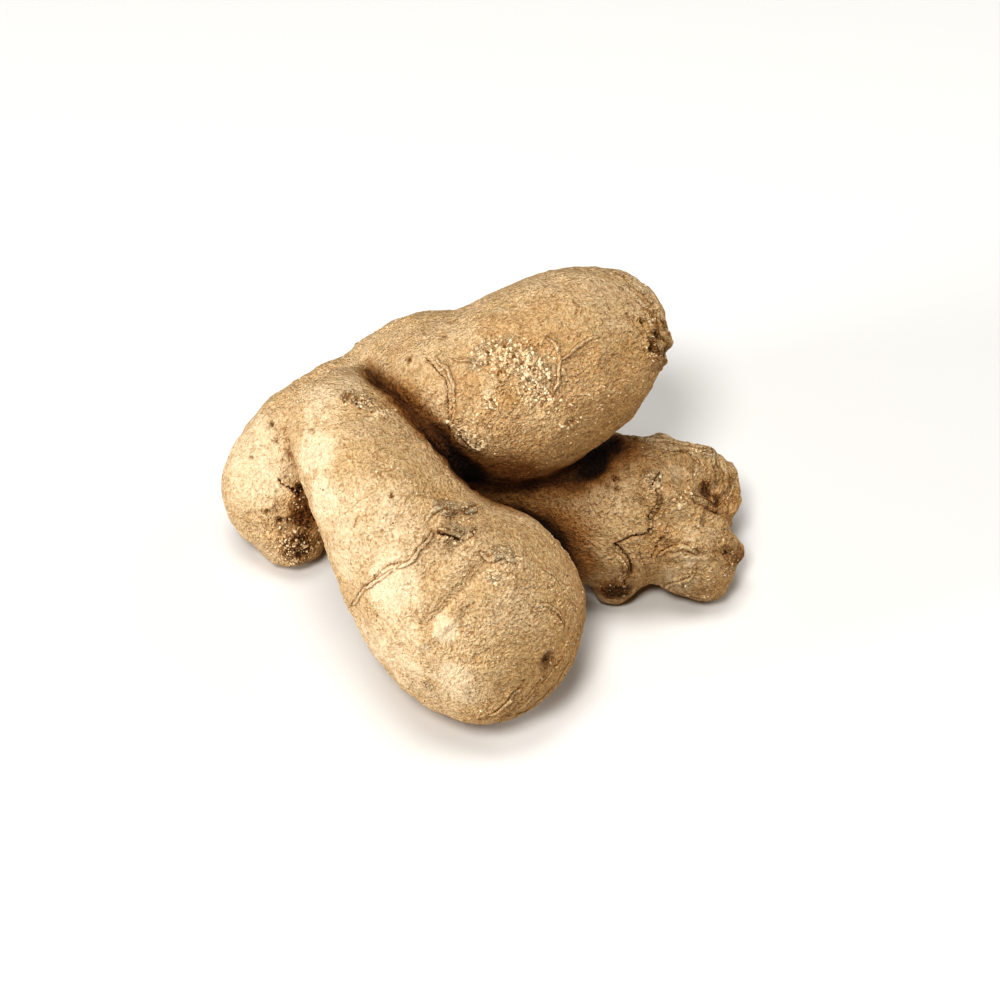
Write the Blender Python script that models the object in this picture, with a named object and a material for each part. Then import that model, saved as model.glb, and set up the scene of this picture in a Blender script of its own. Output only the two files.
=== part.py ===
"""A ginger root: one rhizome of four thick fingers, lying on a flat surface.

The fingers are rounded lobes that run into each other. Creases, ring scars, root pits,
scabs and crumbling bark are raised from, or sunk into, their skin by formula.
All sizes and places below are in millimetres: +X to the right, +Y to the back, +Z up.
"""

import bmesh
import bpy
import numpy as np
from mathutils import Matrix

MM = 0.001

# Each lobe is a row of stations along its middle: x, y, z and the radius there.
LOBES = {
    "base": (
        (-18, 31.5, 15.5, 16), (-2, 22.5, 17, 16), (10.5, 14.5, 17, 16), (21, 9.5, 16, 16),
        (30, 7.5, 15.5, 16), (39, 10.5, 14.5, 13.3), (44.5, 14, 13.5, 10.5), (47, 15.5, 13.5, 8),
    ),
    "upper": (
        (-28, 28, 30, 7), (-20, 30, 32.5, 9.5), (-11.5, 26, 36.5, 14), (-3.5, 17.5, 40, 17.2),
        (5, 14.5, 43.7, 19), (12.5, 15, 48.5, 19), (18.7, 17, 52.3, 17.5), (25, 20, 55, 13.1),
    ),
    "left": (
        (-29.5, 24.5, 30, 7), (-33.5, 23, 27.5, 9), (-38.5, 21, 23, 10.5),
        (-44, 15.5, 15, 11), (-42, 12.5, 10.5, 9.5), (-40.5, 10, 7.5, 8),
    ),
    "front": (
        (-26, 20.5, 35, 7.5), (-28.7, 12.5, 39.5, 8.8), (-27.7, 6.5, 40, 11.4),
        (-22.5, -2, 38.5, 13.9), (-17.5, -10.5, 34.5, 15.4), (-12, -16.5, 29, 17.3),
        (-6, -21.5, 23.8, 19.5), (-0.2, -25, 20.5, 21.2), (0.5, -31, 18, 15.9),
    ),
    "end_knob": ((35, 5.5, 13, 9.5), (41.5, 2.8, 11.3, 10), (45.3, 0, 9.4, 8.8), (48, -3, 6, 5)),
    "bud": ((29.5, 1.5, 10, 8.5), (28.5, -3, 5.5, 5.2)),
    "spur": ((50, 2.5, 10, 4), (54, 0, 11, 1.5)),
}
# How widely each lobe runs into the ones above it in the list.
FILLETS = {"base": 0, "upper": 5, "left": 8, "front": 2.4, "end_knob": 1.6, "bud": 1.6, "spur": 2}
BEAD_STEP = 0.6
LINE_STEP = 0.8

# Cracks and creases: half width, depth and the points that each runs through.
CRACKS = (
    # the long crack across the front finger
    (0.7, 0.6, (-9.5, -24.5, 44.5), (-10.5, -26, 43.5), (-12.5, -29, 41.5), (-15, -29.5, 40.5),
     (-18, -29.5, 39), (-21, -30, 35.5), (-23.5, -29.5, 32), (-25.5, -27, 24.5)),
    # the crack round the pale swelling on it, and short ones near it
    (0.6, 0.3, (-26.5, -19, 44), (-23.5, -18.5, 46.5), (-20.5, -17.5, 48), (-18, -15, 49)),
    (0.6, 0.35, (-16.5, -11.5, 50.5), (-17, -13.5, 50), (-18.5, -14, 49.5), (-20.5, -14.5, 49.5)),
    (0.8, 0.9, (-7.5, -25, 44), (-6, -25.5, 43.5), (-4, -25.5, 43), (-1.5, -25, 42.5), (-1, -23.5, 42.5)),
    (0.6, 0.25, (-12.5, -34, 37), (-13, -35.5, 35.5), (-14, -36, 34)),
    (0.6, 0.35, (-0.5, -39.5, 35.5), (-0.5, -41.5, 33.5)),
    # arcs on its right cheek and under its end
    (0.7, 0.35, (10.5, -37.5, 34), (13, -35.5, 33), (15.5, -35, 30.5), (17, -35, 28)),
    (0.7, 0.25, (13, -30, 36), (14.5, -31.5, 33.5), (14.5, -33.5, 33)),
    (0.7, 0.55, (0, -46, 13), (2.5, -46.5, 15), (5, -46, 18), (7.5, -45.5, 20.5), (9, -44.5, 22.5)),
    (0.6, 0.45, (4, -45.5, 13), (8, -45, 17), (11.5, -43, 20.5), (15, -39, 22)),
    (0.6, 0.35, (5, -45, 7), (12, -42, 11.5), (16.5, -38, 15.5), (19, -34, 18), (20.5, -29, 22)),
    # where its top end meets the others
    (0.6, 0.35, (-24.5, 19, 45), (-28, 16, 47), (-32, 13.5, 47), (-35, 11, 44)),
    # the ring round the neck of the upper finger
    (0.7, 0.6, (-10, 11, 56), (-7.5, 7.5, 56.5), (-6, 4.5, 55), (-6, 2, 53), (-6, 0, 50), (-6.5, -0.5, 47.5)),
    (0.6, 0.4, (-9, 5, 53), (-10.5, 4.5, 51), (-12, 4.5, 49.5), (-14, 6, 48.5)),
    (0.6, 0.4, (-11.5, 25, 53.5), (-11, 19.5, 55.5)),
    (0.7, 0.6, (-17.5, 25, 50), (-19.5, 23, 48.5)),
    (0.6, 0.35, (4, -3.5, 51.5), (6, -2.5, 54.5), (8.5, -1, 58)),
    (0.6, 0.3, (6.5, -3.5, 52), (8.5, -2.5, 55.5), (11, -1.5, 57.5)),
    (0.6, 0.5, (19, 14, 70), (20, 13, 69.5), (19.5, 12, 69)),
    # round the broken tip of the upper finger
    (0.8, 0.8, (27, 26, 67), (32, 23, 65.5), (34, 20, 64.5), (35.5, 17.5, 62), (37.5, 17.5, 58)),
    (0.7, 0.5, (29.5, 14, 66.5), (31, 13, 65), (32, 11.5, 63)),
    (1.2, 1.3, (32.5, 14, 64), (33, 12.5, 62.5), (34, 11.5, 60.5), (35, 11, 57.5)),
    # the crack that divides the right lobe from its knobs
    (0.8, 0.9, (36.5, 4, 30), (35.5, 1.5, 29.5), (36.5, 0, 28), (36.5, -2, 26.5), (35, -3.5, 26),
     (35.5, -4.5, 25), (34.5, -6, 23.5), (31.5, -6.5, 23), (28.5, -7.5, 21.5)),
    (0.9, 0.9, (28.5, -7.5, 21.5), (30.5, -8.3, 19), (31.5, -8.5, 16.5), (31.5, -8.5, 14), (30, -8.5, 11)),
    (0.7, 0.35, (23, 4, 31.5), (25, 6, 32), (27.5, 6.5, 32)),
    (0.7, 0.35, (33, 6, 31), (36, 8.5, 30.5), (38, 8, 30)),
    (0.9, 1.0, (43.5, 2.5, 25.5), (46, 2.5, 23.5), (48.5, 2.5, 20.5), (51.5, 3.5, 16.5)),
    (0.7, 0.8, (37.5, -5.5, 21.5), (36.5, -6.5, 20), (35.5, -7.5, 18.5)),
    (0.6, 0.45, (44.5, -7, 14), (44, -8, 12), (42.5, -8, 9)),
    (0.7, 0.5, (33, -7.5, 19.5), (34, -8, 17), (34.5, -8, 14)),
    # upright folds on its end face
    (0.7, 0.5, (49, 15, 23.5), (50, 11, 23), (51, 8, 21.5)),
    (0.7, 0.5, (52, 17.5, 20), (52.5, 12.5, 20), (53, 9, 19)),
    (0.7, 0.4, (47, 12.5, 25), (48, 9.5, 25)),
    # the slit in the left finger
    (0.8, 1.0, (-41.5, 8.5, 24), (-40, 8, 22.5), (-38, 7.5, 20.5)),
)
# A wide soft furrow across the end of the front finger: half width, depth and its points.
FURROWS = (
    (1.8, 1.5, (1.5, -30, 41.5), (0, -32, 40.5), (-3, -35.5, 39), (-6.5, -38, 36.5), (-9, -39.5, 34)),
    (2.6, 0.7, (-3, -24, 43.5), (-7, -30, 41.5), (-12, -35, 37)),
    (3, 0.6, (26, 4, 31.5), (30, 0, 29), (33, -3, 27)),
)
# Raised lines of skin: half width, height and the points that each runs through.
RIDGES = (
    (1.2, 1.0, (-2.5, -37, 38), (-4.5, -39, 36), (-7, -40.5, 33.5), (-9.5, -41, 31), (-11, -41, 29.5)),
    # folds of the scab on the front finger
    (0.8, 0.9, (-9.5, -19, 46.5), (-8, -20, 45.5), (-6.5, -21, 45), (-5, -20, 44.5)),
    (0.8, 0.9, (-6.5, -21, 45), (-4, -19.5, 44), (-1.5, -17, 43), (-0.5, -16.5, 42.5)),
    (0.8, 0.9, (-8, -24, 44), (-6.5, -24.5, 43.5), (-4.5, -24, 43.5), (-2.5, -24, 43), (-1, -24.5, 42.5)),
    # raised lines on the upper finger
    (0.8, 0.4, (13.5, 7, 66.5), (15.5, 4.5, 65.5), (16, 2.5, 63.5), (15.5, 0, 60.5), (14.5, -1.5, 57.5),
     (13.5, -3, 54.5)),
    (0.7, 0.35, (-8, 10.5, 57.5), (-5, 8.5, 59), (-2, 6.5, 60), (2, 4.5, 61)),
    (0.7, 0.4, (16, 3, 64), (18.5, 4.5, 65), (21, 6, 66), (23.5, 7.5, 66)),
    (0.8, 0.3, (24, 4, 63.5), (24.5, 2, 61), (25.5, 1, 58), (27, 0.5, 54)),
    (1.3, 0.5, (-6, 7.5, 57.5), (-4.5, 4, 56.5), (-4, 1, 53.5), (-4.5, -1, 50)),
    (0.6, 0.35, (21.5, 13, 69.5), (23, 12, 69), (24.5, 12, 68.5)),
    (0.7, 0.25, (6.5, 11.5, 67), (10, 8, 67), (12.5, 6.5, 67)),
    (0.7, 0.25, (15.5, 8.5, 68), (18.5, 7.5, 67.5), (20, 8.5, 68)),
    # folds on the right lobe and its knobs
    (1.3, 0.7, (37.5, 5, 30), (34, 1.5, 30), (34.5, -2, 27.5), (32.5, -4, 26.5)),
    (0.7, 0.4, (28, 13.5, 31), (32.5, 13, 30), (37.5, 13.5, 29)),
    (1.1, 0.7, (38, -5, 22), (41.5, -4, 20), (45, -3.5, 18), (47, -4, 16.5)),
    (0.9, 0.5, (36.5, -7, 16.5), (39, -6, 17.5), (42.5, -5.5, 16.5), (45.5, -6, 15)),
    (1.0, 0.6, (42.5, 0.5, 25), (45.5, 0, 23), (48, 0, 20), (50.5, 0.5, 17)),
    (0.9, 0.6, (50, 17, 20), (51.5, 14, 20.5), (52.5, 10, 19)),
    (0.9, 0.6, (52, 18, 17), (53.5, 14, 17), (54, 10, 15.5)),
)
# Root pits: x, y, z, radius and depth.
PITS = (
    (-26, 5, 52, 1.3, 1.3), (-24.5, 3.5, 52, 1, 0.8), (-31, -8, 43.5, 0.8, 0.5),
    (-32.5, 0.5, 46.5, 0.7, 0.3), (-17, -17, 45, 0.7, 0.4), (-26, -25.5, 27, 0.7, 0.4),
    (13.5, -41, 24.5, 1.5, 0.7), (-43.5, 17.5, 31.5, 0.7, 0.5),
    (-42.5, 14, 30, 0.7, 0.4), (-47.5, 14.5, 27.5, 0.6, 0.4), (-48, 13, 26, 0.6, 0.4),
    (-44.5, 5, 18, 0.7, 0.5), (-42, 4, 16, 0.9, 0.7), (-40.5, 4.5, 16, 0.7, 0.5),
    (-37.5, 8, 21, 1.1, 1.1), (-6, 20.5, 59, 0.9, 0.7), (-8.5, 17, 58.5, 0.7, 0.4),
    (-7.5, 15.5, 59.5, 0.7, 0.4), (-14.5, 14, 54, 0.7, 0.6), (18.5, -3.5, 52.5, 0.9, 0.5),
    (34, 11, 60, 1.2, 1.0), (42.5, 13, 27.5, 0.8, 0.8), (28, 2.5, 31, 0.8, 0.7),
    (28.5, 0, 30, 0.8, 0.4), (50.5, -3.5, 14.5, 1.4, 0.8),
)
# Dents and swellings: x, y, z, radius and height, which is below zero for a dent.
SWELLINGS = (
    (48.5, 6.3, 23, 3.4, -2.4), (51.5, 7, 19, 3, -1.6), (44, 7, 26.5, 3, -0.7),
    (47.5, 14, 24.5, 4, 0.9), (28.5, -7.5, 17, 2.2, 0.8), (26, 0, 30, 6, 0.6), (40.5, 1, 26.5, 3.5, 0.7),
    (41, -6, 14, 5, 0.7), (31, 10, 31, 4, 0.4),
    (-16, -32.5, 37, 8, 0.7), (-18.5, -20.5, 45, 8, 0.6), (-12, -5.5, 47.5, 1.5, 0.8), (-5, -21.5, 44.5, 6, 0.7),
    (6.5, -29, 40.5, 4.5, 0.5), (-12, -27, 43, 4, 0.5), (-7, 8, 55, 5, 0.4), (6, 2, 62, 8, 0.5),
    (-14.5, 29, 51, 1.9, 0.9), (24, 5, 64.5, 1.9, 0.7), (29.5, 15.5, 30, 1.4, 0.9),
    (33, 15.5, 29, 1.1, 0.5), (38, 19, 25.5, 1.9, 1.4), (48, 16, 23.5, 1.7, 0.9),
    (43, 2.5, 26, 1.3, 0.9), (41, -0.5, 25.5, 1, 0.5), (43.5, -0.5, 23.5, 1, 0.5),
    (38, 15, 58, 1.5, 1.0), (37, 13.5, 53.5, 1.3, 0.9), (35, 17.5, 64, 1.6, 0.6),
)
# Crumbling patches of bark: x, y, z, radius, grain size and grain height.
SCABS = (
    (-26, 5, 52, 2.6, 1.4, 0.7), (-23, 3.5, 52, 3.2, 1.4, 0.8), (-20, 1, 52, 2.6, 1.3, 0.6),
    (-6.5, -20, 45.5, 3, 1.4, 0.6), (-2.5, -18.5, 43.5, 2.6, 1.4, 0.6), (-4.5, -24.5, 43.5, 3, 1.4, 0.6),
    (5, -29, 41, 3.4, 1.2, 0.7),
    (3, -33, 40, 2, 1.1, 0.5), (-39.5, 2, 8.5, 5, 1.5, 0.8), (0, 7, 62, 4, 1.1, 0.5),
    (5, 5.5, 64, 4.5, 1.1, 0.6), (9, 3.5, 64, 5, 1.1, 0.6), (12, 0, 61.5, 5, 1.1, 0.6),
    (-2.5, -3, 47, 3.6, 1.3, 0.8), (2, -1.5, 56.5, 1.8, 1.2, 0.5), (37, 14, 57.5, 6, 2.2, 1.0),
    (36, 3, 30, 2.4, 1.2, 0.6), (52, -3, 12.5, 4, 1.6, 0.9), (29, -7, 8, 4, 1.6, 0.8),
    (47, 14, 25.5, 3, 1.3, 0.6), (-9.5, -44, 20.5, 2.4, 1.1, 0.4), (13.5, -41, 24.5, 3, 1.1, 0.5),
)
# Where the rhizome was broken from the plant: middle, radius, depth and the height of its rim.
BREAK_MIDDLE = (-30, 43, 16)
BREAK_RADIUS = 9
BREAK_DEPTH = 1.4
BREAK_RIM = 0.6
BREAK_GRAIN = 2

# Ring scars go round every lobe on the side that lay in the soil.
SOIL_SIDE = (0, 0.75, -0.65)
RING_SPACING = 10.5
RING_DEPTH = 0.4
RING_HALF_WIDTH = 0.8
# Root pits and stubs drawn at random on that side.
SOIL_PITS = 22
SOIL_PIT_DEPTH = 0.6
SOIL_STUBS = 9
SOIL_DRAWS = 400
DRAW_BOX = ((-55, -47, 0), (55, 47, 69))

# Slow unevenness of the whole surface: wavelength and height.
SWELLS = ((19, 0.5), (8, 0.42), (3.6, 0.22))
# The relief fades to nothing at the height where the root touches what it lies on.
REST_FADE = 3.5
# It also fades where two lobes meet in a tight crease, which is where the slope is low.
CREASE_FADE = (0.45, 0.95)

# How far cracks and ridges wander from the line through their points, and how quickly.
WANDER = 0.5
WANDER_WAVELENGTH = 2.6
# The raised lip beside a crack and the raised rim round a pit: place and share of the depth.
LIP_PLACE = 1.9
LIP_SHARE = 0.3
RIM_PLACE = 1.5
RIM_SHARE = 0.25

VOXEL = 0.9
SPHERE_SPACING = 2
TRIANGLES = 11400
FLOOR_SNAP = 0.03
SETTLE_ROUNDS = 6
LEAST_STEEPNESS = 0.05
# The noise tables repeat after this many cells, and points are worked through in chunks.
NOISE_PERIOD = 32
CHUNK = 20000

SKIN_COLOUR = (0.56, 0.37, 0.18, 1)
SKIN_ROUGHNESS = 0.85


def clear_scene():
    for obj in list(bpy.data.objects):
        bpy.data.objects.remove(obj, do_unlink=True)


def curve_through(points, step):
    """A smooth curve through rows of numbers, sampled about every step millimetres."""
    rows = np.array(points, float)
    rows = np.vstack([2 * rows[0] - rows[1], rows, 2 * rows[-1] - rows[-2]])
    samples = []
    for a, b, c, d in zip(rows, rows[1:], rows[2:], rows[3:]):
        count = max(2, int(np.linalg.norm((c - b)[:3]) / step))
        t = (np.arange(count) / count)[:, None]
        linear = (c - a) * t
        square = (2 * a - 5 * b + 4 * c - d) * t**2
        cube = (3 * b - a - 3 * c + d) * t**3
        samples.append(0.5 * (2 * b + linear + square + cube))
    samples.append(rows[-2][None])
    return np.vstack(samples)


def nearest(points, centres, radii=0.0):
    """Distance from each point to the nearest sphere, and that sphere's index."""
    distance = np.empty(len(points))
    index = np.empty(len(points), int)
    for start in range(0, len(points), CHUNK):
        part = slice(start, start + CHUNK)
        squares = (points[part] ** 2).sum(axis=1)[:, None] + (centres**2).sum(axis=1)
        squares -= 2 * points[part] @ centres.T
        gaps = np.sqrt(np.maximum(squares, 0)) - radii
        index[part] = gaps.argmin(axis=1)
        distance[part] = gaps.min(axis=1)
    return distance, index


class Lobe:
    """A row of overlapping spheres with the direction and the length at each."""

    def __init__(self, stations, fillet):
        beads = curve_through(stations, BEAD_STEP)
        self.centres = beads[:, :3]
        self.radii = beads[:, 3]
        self.fillet = fillet
        steps = np.diff(self.centres, axis=0)
        self.along = np.concatenate([[0], np.cumsum(np.linalg.norm(steps, axis=1))])
        tangents = np.gradient(self.centres, axis=0)
        self.tangents = tangents / np.linalg.norm(tangents, axis=1)[:, None]


def union_field(points, lobes):
    """Distance to the lobes' smooth union, its slope, and the length along the nearest lobe."""
    total = None
    for lobe in lobes:
        distance, index = nearest(points, lobe.centres, lobe.radii)
        offset = points - lobe.centres[index]
        slope = offset / np.linalg.norm(offset, axis=1)[:, None]
        along = lobe.along[index] + (offset * lobe.tangents[index]).sum(axis=1)
        if total is None:
            total, total_slope, total_along = distance, slope, along
            continue
        share = np.clip(0.5 + 0.5 * (total - distance) / lobe.fillet, 0, 1)
        total = total * (1 - share) + distance * share - lobe.fillet * share * (1 - share)
        total_slope = total_slope * (1 - share)[:, None] + slope * share[:, None]
        total_along = np.where(share > 0.5, along, total_along)
    return total, total_slope, total_along


def settle(points, lobes):
    """Moves points onto the smooth union. Gives its slope and the length along the lobe there."""
    points = np.array(points, float)
    for _ in range(SETTLE_ROUNDS):
        distance, slope, _ = union_field(points, lobes)
        steepness = np.maximum((slope * slope).sum(axis=1), LEAST_STEEPNESS)
        points = points - slope * (distance / steepness)[:, None]
    _, slope, along = union_field(points, lobes)
    return points, slope, along


def smooth_step(low, high, values):
    t = np.clip((values - low) / (high - low), 0, 1)
    return t * t * (3 - 2 * t)


def noise(points, wavelength, seed):
    """Smooth noise between -1 and 1."""
    table = np.random.default_rng(seed).uniform(-1, 1, (NOISE_PERIOD,) * 3)
    scaled = points / wavelength
    cell = np.floor(scaled).astype(int)
    t = scaled - cell
    t = t * t * (3 - 2 * t)
    total = np.zeros(len(points))
    for corner in np.ndindex(2, 2, 2):
        x, y, z = ((cell + corner) % NOISE_PERIOD).T
        weight = np.where(corner, t, 1 - t).prod(axis=1)
        total += weight * table[x, y, z]
    return total


def grains(points, size, seed):
    """Rounded grains packed side by side: 1 on top of a grain, 0 between grains."""
    table = np.random.default_rng(seed).uniform(0, 1, (NOISE_PERIOD,) * 3 + (3,))
    scaled = points / size
    cell = np.floor(scaled).astype(int)
    closest = np.ones(len(points))
    for step in np.ndindex(3, 3, 3):
        here = cell + np.array(step) - 1
        x, y, z = (here % NOISE_PERIOD).T
        gap = np.linalg.norm(here + table[x, y, z] - scaled, axis=1)
        closest = np.minimum(closest, gap)
    return 1 - closest**2


def crack_profile(gap, half_width, depth):
    """A sunk line with slightly raised lips."""
    groove = np.exp(-((gap / half_width) ** 2))
    lips = np.exp(-(((gap - LIP_PLACE * half_width) / half_width) ** 2))
    return depth * (LIP_SHARE * lips - groove)


def pit_profile(gap, radius, depth):
    """A round hole with a raised rim."""
    hole = np.exp(-((gap / radius) ** 4))
    rim = np.exp(-(((gap - RIM_PLACE * radius) / (0.5 * radius)) ** 2))
    return depth * (RIM_SHARE * rim - hole)


def line_gap(points, through, lobes):
    """Distance from each point to the line on the skin that runs through a few places."""
    path, _, _ = settle(curve_through(through, LINE_STEP), lobes)
    return nearest(points, path)[0]


def line_relief(points, lobes):
    """Height of all cracks, furrows and ridges."""
    height = np.zeros(len(points))
    wander = np.stack([noise(points, WANDER_WAVELENGTH, seed) for seed in (11, 12, 13)], axis=1)
    bent = points + WANDER * wander
    for half_width, depth, *through in CRACKS:
        height += crack_profile(line_gap(bent, through, lobes), half_width, depth)
    for half_width, depth, *through in FURROWS:
        height -= depth * np.exp(-((line_gap(points, through, lobes) / half_width) ** 2))
    for half_width, rise, *through in RIDGES:
        height += rise * np.exp(-((line_gap(bent, through, lobes) / half_width) ** 2))
    return height


def spot_relief(points, lobes):
    """Height of all pits, dents, swellings and crumbling patches."""
    height = np.zeros(len(points))
    for x, y, z, radius, depth in PITS:
        middle, _, _ = settle([(x, y, z)], lobes)
        height += pit_profile(nearest(points, middle)[0], radius, depth)
    for x, y, z, radius, rise in SWELLINGS:
        middle, _, _ = settle([(x, y, z)], lobes)
        height += rise * np.exp(-((nearest(points, middle)[0] / radius) ** 2))
    for number, (x, y, z, radius, size, rise) in enumerate(SCABS):
        middle, _, _ = settle([(x, y, z)], lobes)
        gap = nearest(points, middle)[0] + 0.35 * radius * noise(points, 3, 40 + number)
        inside = 1 - smooth_step(0.5 * radius, radius, gap)
        height += inside * rise * (grains(points, size, 70) - 0.35)
    return height


def break_relief(points, lobes):
    """The rough, slightly hollow face where the rhizome was broken off."""
    middle, _, _ = settle([BREAK_MIDDLE], lobes)
    gap = nearest(points, middle)[0] + 1.2 * noise(points, 6, 31)
    inside = 1 - smooth_step(0.8 * BREAK_RADIUS, BREAK_RADIUS, gap)
    rim = np.exp(-(((gap - 1.05 * BREAK_RADIUS) / 1.4) ** 2))
    rough = 0.5 * noise(points, BREAK_GRAIN, 32) + 0.5 * grains(points, BREAK_GRAIN, 33) - 0.25
    return inside * (0.7 * rough - BREAK_DEPTH) + rim * BREAK_RIM


def soil_side_relief(points, normals, along, lobes):
    """Ring scars, root pits and root stubs on the side that lay in the soil."""
    facing = smooth_step(-0.15, 0.35, normals @ np.array(SOIL_SIDE))
    wave = along + 1.3 * noise(points, 11, 21)
    gap = np.abs((wave / RING_SPACING + 0.5) % 1 - 0.5) * RING_SPACING
    strength = smooth_step(-0.5, 0.3, noise(points, 9, 22))
    height = facing * strength * crack_profile(gap, RING_HALF_WIDTH, RING_DEPTH)
    draw = np.random.default_rng(5)
    places, outward, _ = settle(draw.uniform(*DRAW_BOX, (SOIL_DRAWS, 3)), lobes)
    kept = (outward @ np.array(SOIL_SIDE) > 0.3) & (places[:, 2] > REST_FADE)
    places = places[kept]
    for place in places[:SOIL_PITS]:
        gap = nearest(points, place[None])[0]
        height += pit_profile(gap, draw.uniform(0.7, 1.1), SOIL_PIT_DEPTH)
    for place in places[SOIL_PITS : SOIL_PITS + SOIL_STUBS]:
        gap = nearest(points, place[None])[0]
        height += draw.uniform(0.6, 1.2) * np.exp(-((gap / draw.uniform(1.1, 1.7)) ** 2))
    return height


def relief(points, slope, along, lobes):
    """How far the skin stands out from the smooth union at each point."""
    steepness = np.linalg.norm(slope, axis=1)
    normals = slope / steepness[:, None]
    height = np.zeros(len(points))
    for seed, (wavelength, rise) in enumerate(SWELLS):
        height += rise * noise(points, wavelength, seed)
    height += line_relief(points, lobes)
    height += spot_relief(points, lobes)
    height += break_relief(points, lobes)
    height += soil_side_relief(points, normals, along, lobes)
    above_rest = smooth_step(0, REST_FADE, points[:, 2])
    open_skin = smooth_step(*CREASE_FADE, steepness)
    return normals * (height * above_rest * open_skin)[:, None]


def rough_body(lobes):
    """Spheres along every lobe, fused into one closed mesh."""
    build = bmesh.new()
    for lobe in lobes:
        count = max(2, int(lobe.along[-1] / SPHERE_SPACING))
        for index in np.linspace(0, len(lobe.radii) - 1, count).astype(int):
            place = Matrix.Translation(lobe.centres[index] * MM)
            radius = lobe.radii[index] * MM
            bmesh.ops.create_icosphere(build, subdivisions=3, radius=radius, matrix=place)
    mesh = bpy.data.meshes.new("rhizome")
    build.to_mesh(mesh)
    build.free()
    body = bpy.data.objects.new("rhizome", mesh)
    bpy.context.collection.objects.link(body)
    fuse = body.modifiers.new("Fuse", "REMESH")
    fuse.mode = "VOXEL"
    fuse.voxel_size = VOXEL * MM
    apply_modifiers(body)
    return body


def apply_modifiers(body):
    """Replaces the object's mesh with the mesh that its modifiers make of it."""
    bpy.context.view_layer.update()
    graph = bpy.context.evaluated_depsgraph_get()
    made = bpy.data.meshes.new_from_object(body.evaluated_get(graph))
    body.modifiers.clear()
    old = body.data
    body.data = made
    bpy.data.meshes.remove(old)
    made.name = body.name


def read_points(mesh):
    flat = np.empty(len(mesh.vertices) * 3)
    mesh.vertices.foreach_get("co", flat)
    return flat.reshape(-1, 3) / MM


def write_points(mesh, points):
    mesh.vertices.foreach_set("co", (points * MM).ravel())
    mesh.update()


def sculpt(body, lobes):
    """Brings the fused mesh to its true surface and raises the relief from it."""
    points, slope, along = settle(read_points(body.data), lobes)
    write_points(body.data, points + relief(points, slope, along, lobes))


def thin_out(body):
    """Brings the mesh down to its triangle budget, with most triangles where it bends."""
    body.data.calc_loop_triangles()
    thin = body.modifiers.new("Thin", "DECIMATE")
    thin.ratio = TRIANGLES / len(body.data.loop_triangles)
    thin.use_collapse_triangulate = True
    apply_modifiers(body)


def flatten_feet(body):
    """Makes small flat spots at zero height, where the root rests."""
    points = read_points(body.data)
    points[points[:, 2] < FLOOR_SNAP, 2] = 0
    write_points(body.data, points)


def skin_material():
    material = bpy.data.materials.new("ginger_skin")
    material.use_nodes = True
    shader = material.node_tree.nodes["Principled BSDF"]
    shader.inputs["Base Color"].default_value = SKIN_COLOUR
    shader.inputs["Roughness"].default_value = SKIN_ROUGHNESS
    shader.inputs["Metallic"].default_value = 0
    return material


def main():
    clear_scene()
    lobes = [Lobe(stations, FILLETS[name]) for name, stations in LOBES.items()]
    body = rough_body(lobes)
    sculpt(body, lobes)
    thin_out(body)
    flatten_feet(body)
    body.data.materials.clear()
    body.data.materials.append(skin_material())
    body.data.shade_smooth()


main()
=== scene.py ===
import math
from functools import reduce

import bmesh
import bpy
import numpy as np
from mathutils import Matrix, Vector


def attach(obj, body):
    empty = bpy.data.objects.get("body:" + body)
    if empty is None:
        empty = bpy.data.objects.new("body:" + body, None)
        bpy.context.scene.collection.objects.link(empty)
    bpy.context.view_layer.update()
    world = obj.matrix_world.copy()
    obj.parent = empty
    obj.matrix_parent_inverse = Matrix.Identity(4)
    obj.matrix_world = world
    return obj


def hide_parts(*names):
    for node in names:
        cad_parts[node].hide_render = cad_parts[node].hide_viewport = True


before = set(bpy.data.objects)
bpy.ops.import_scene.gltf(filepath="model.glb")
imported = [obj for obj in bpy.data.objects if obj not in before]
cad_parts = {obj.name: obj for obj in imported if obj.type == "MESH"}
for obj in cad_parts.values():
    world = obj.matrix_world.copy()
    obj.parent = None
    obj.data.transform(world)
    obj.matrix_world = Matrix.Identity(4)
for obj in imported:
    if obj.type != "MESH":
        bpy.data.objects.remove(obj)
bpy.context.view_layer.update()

MM = 0.001

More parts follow.
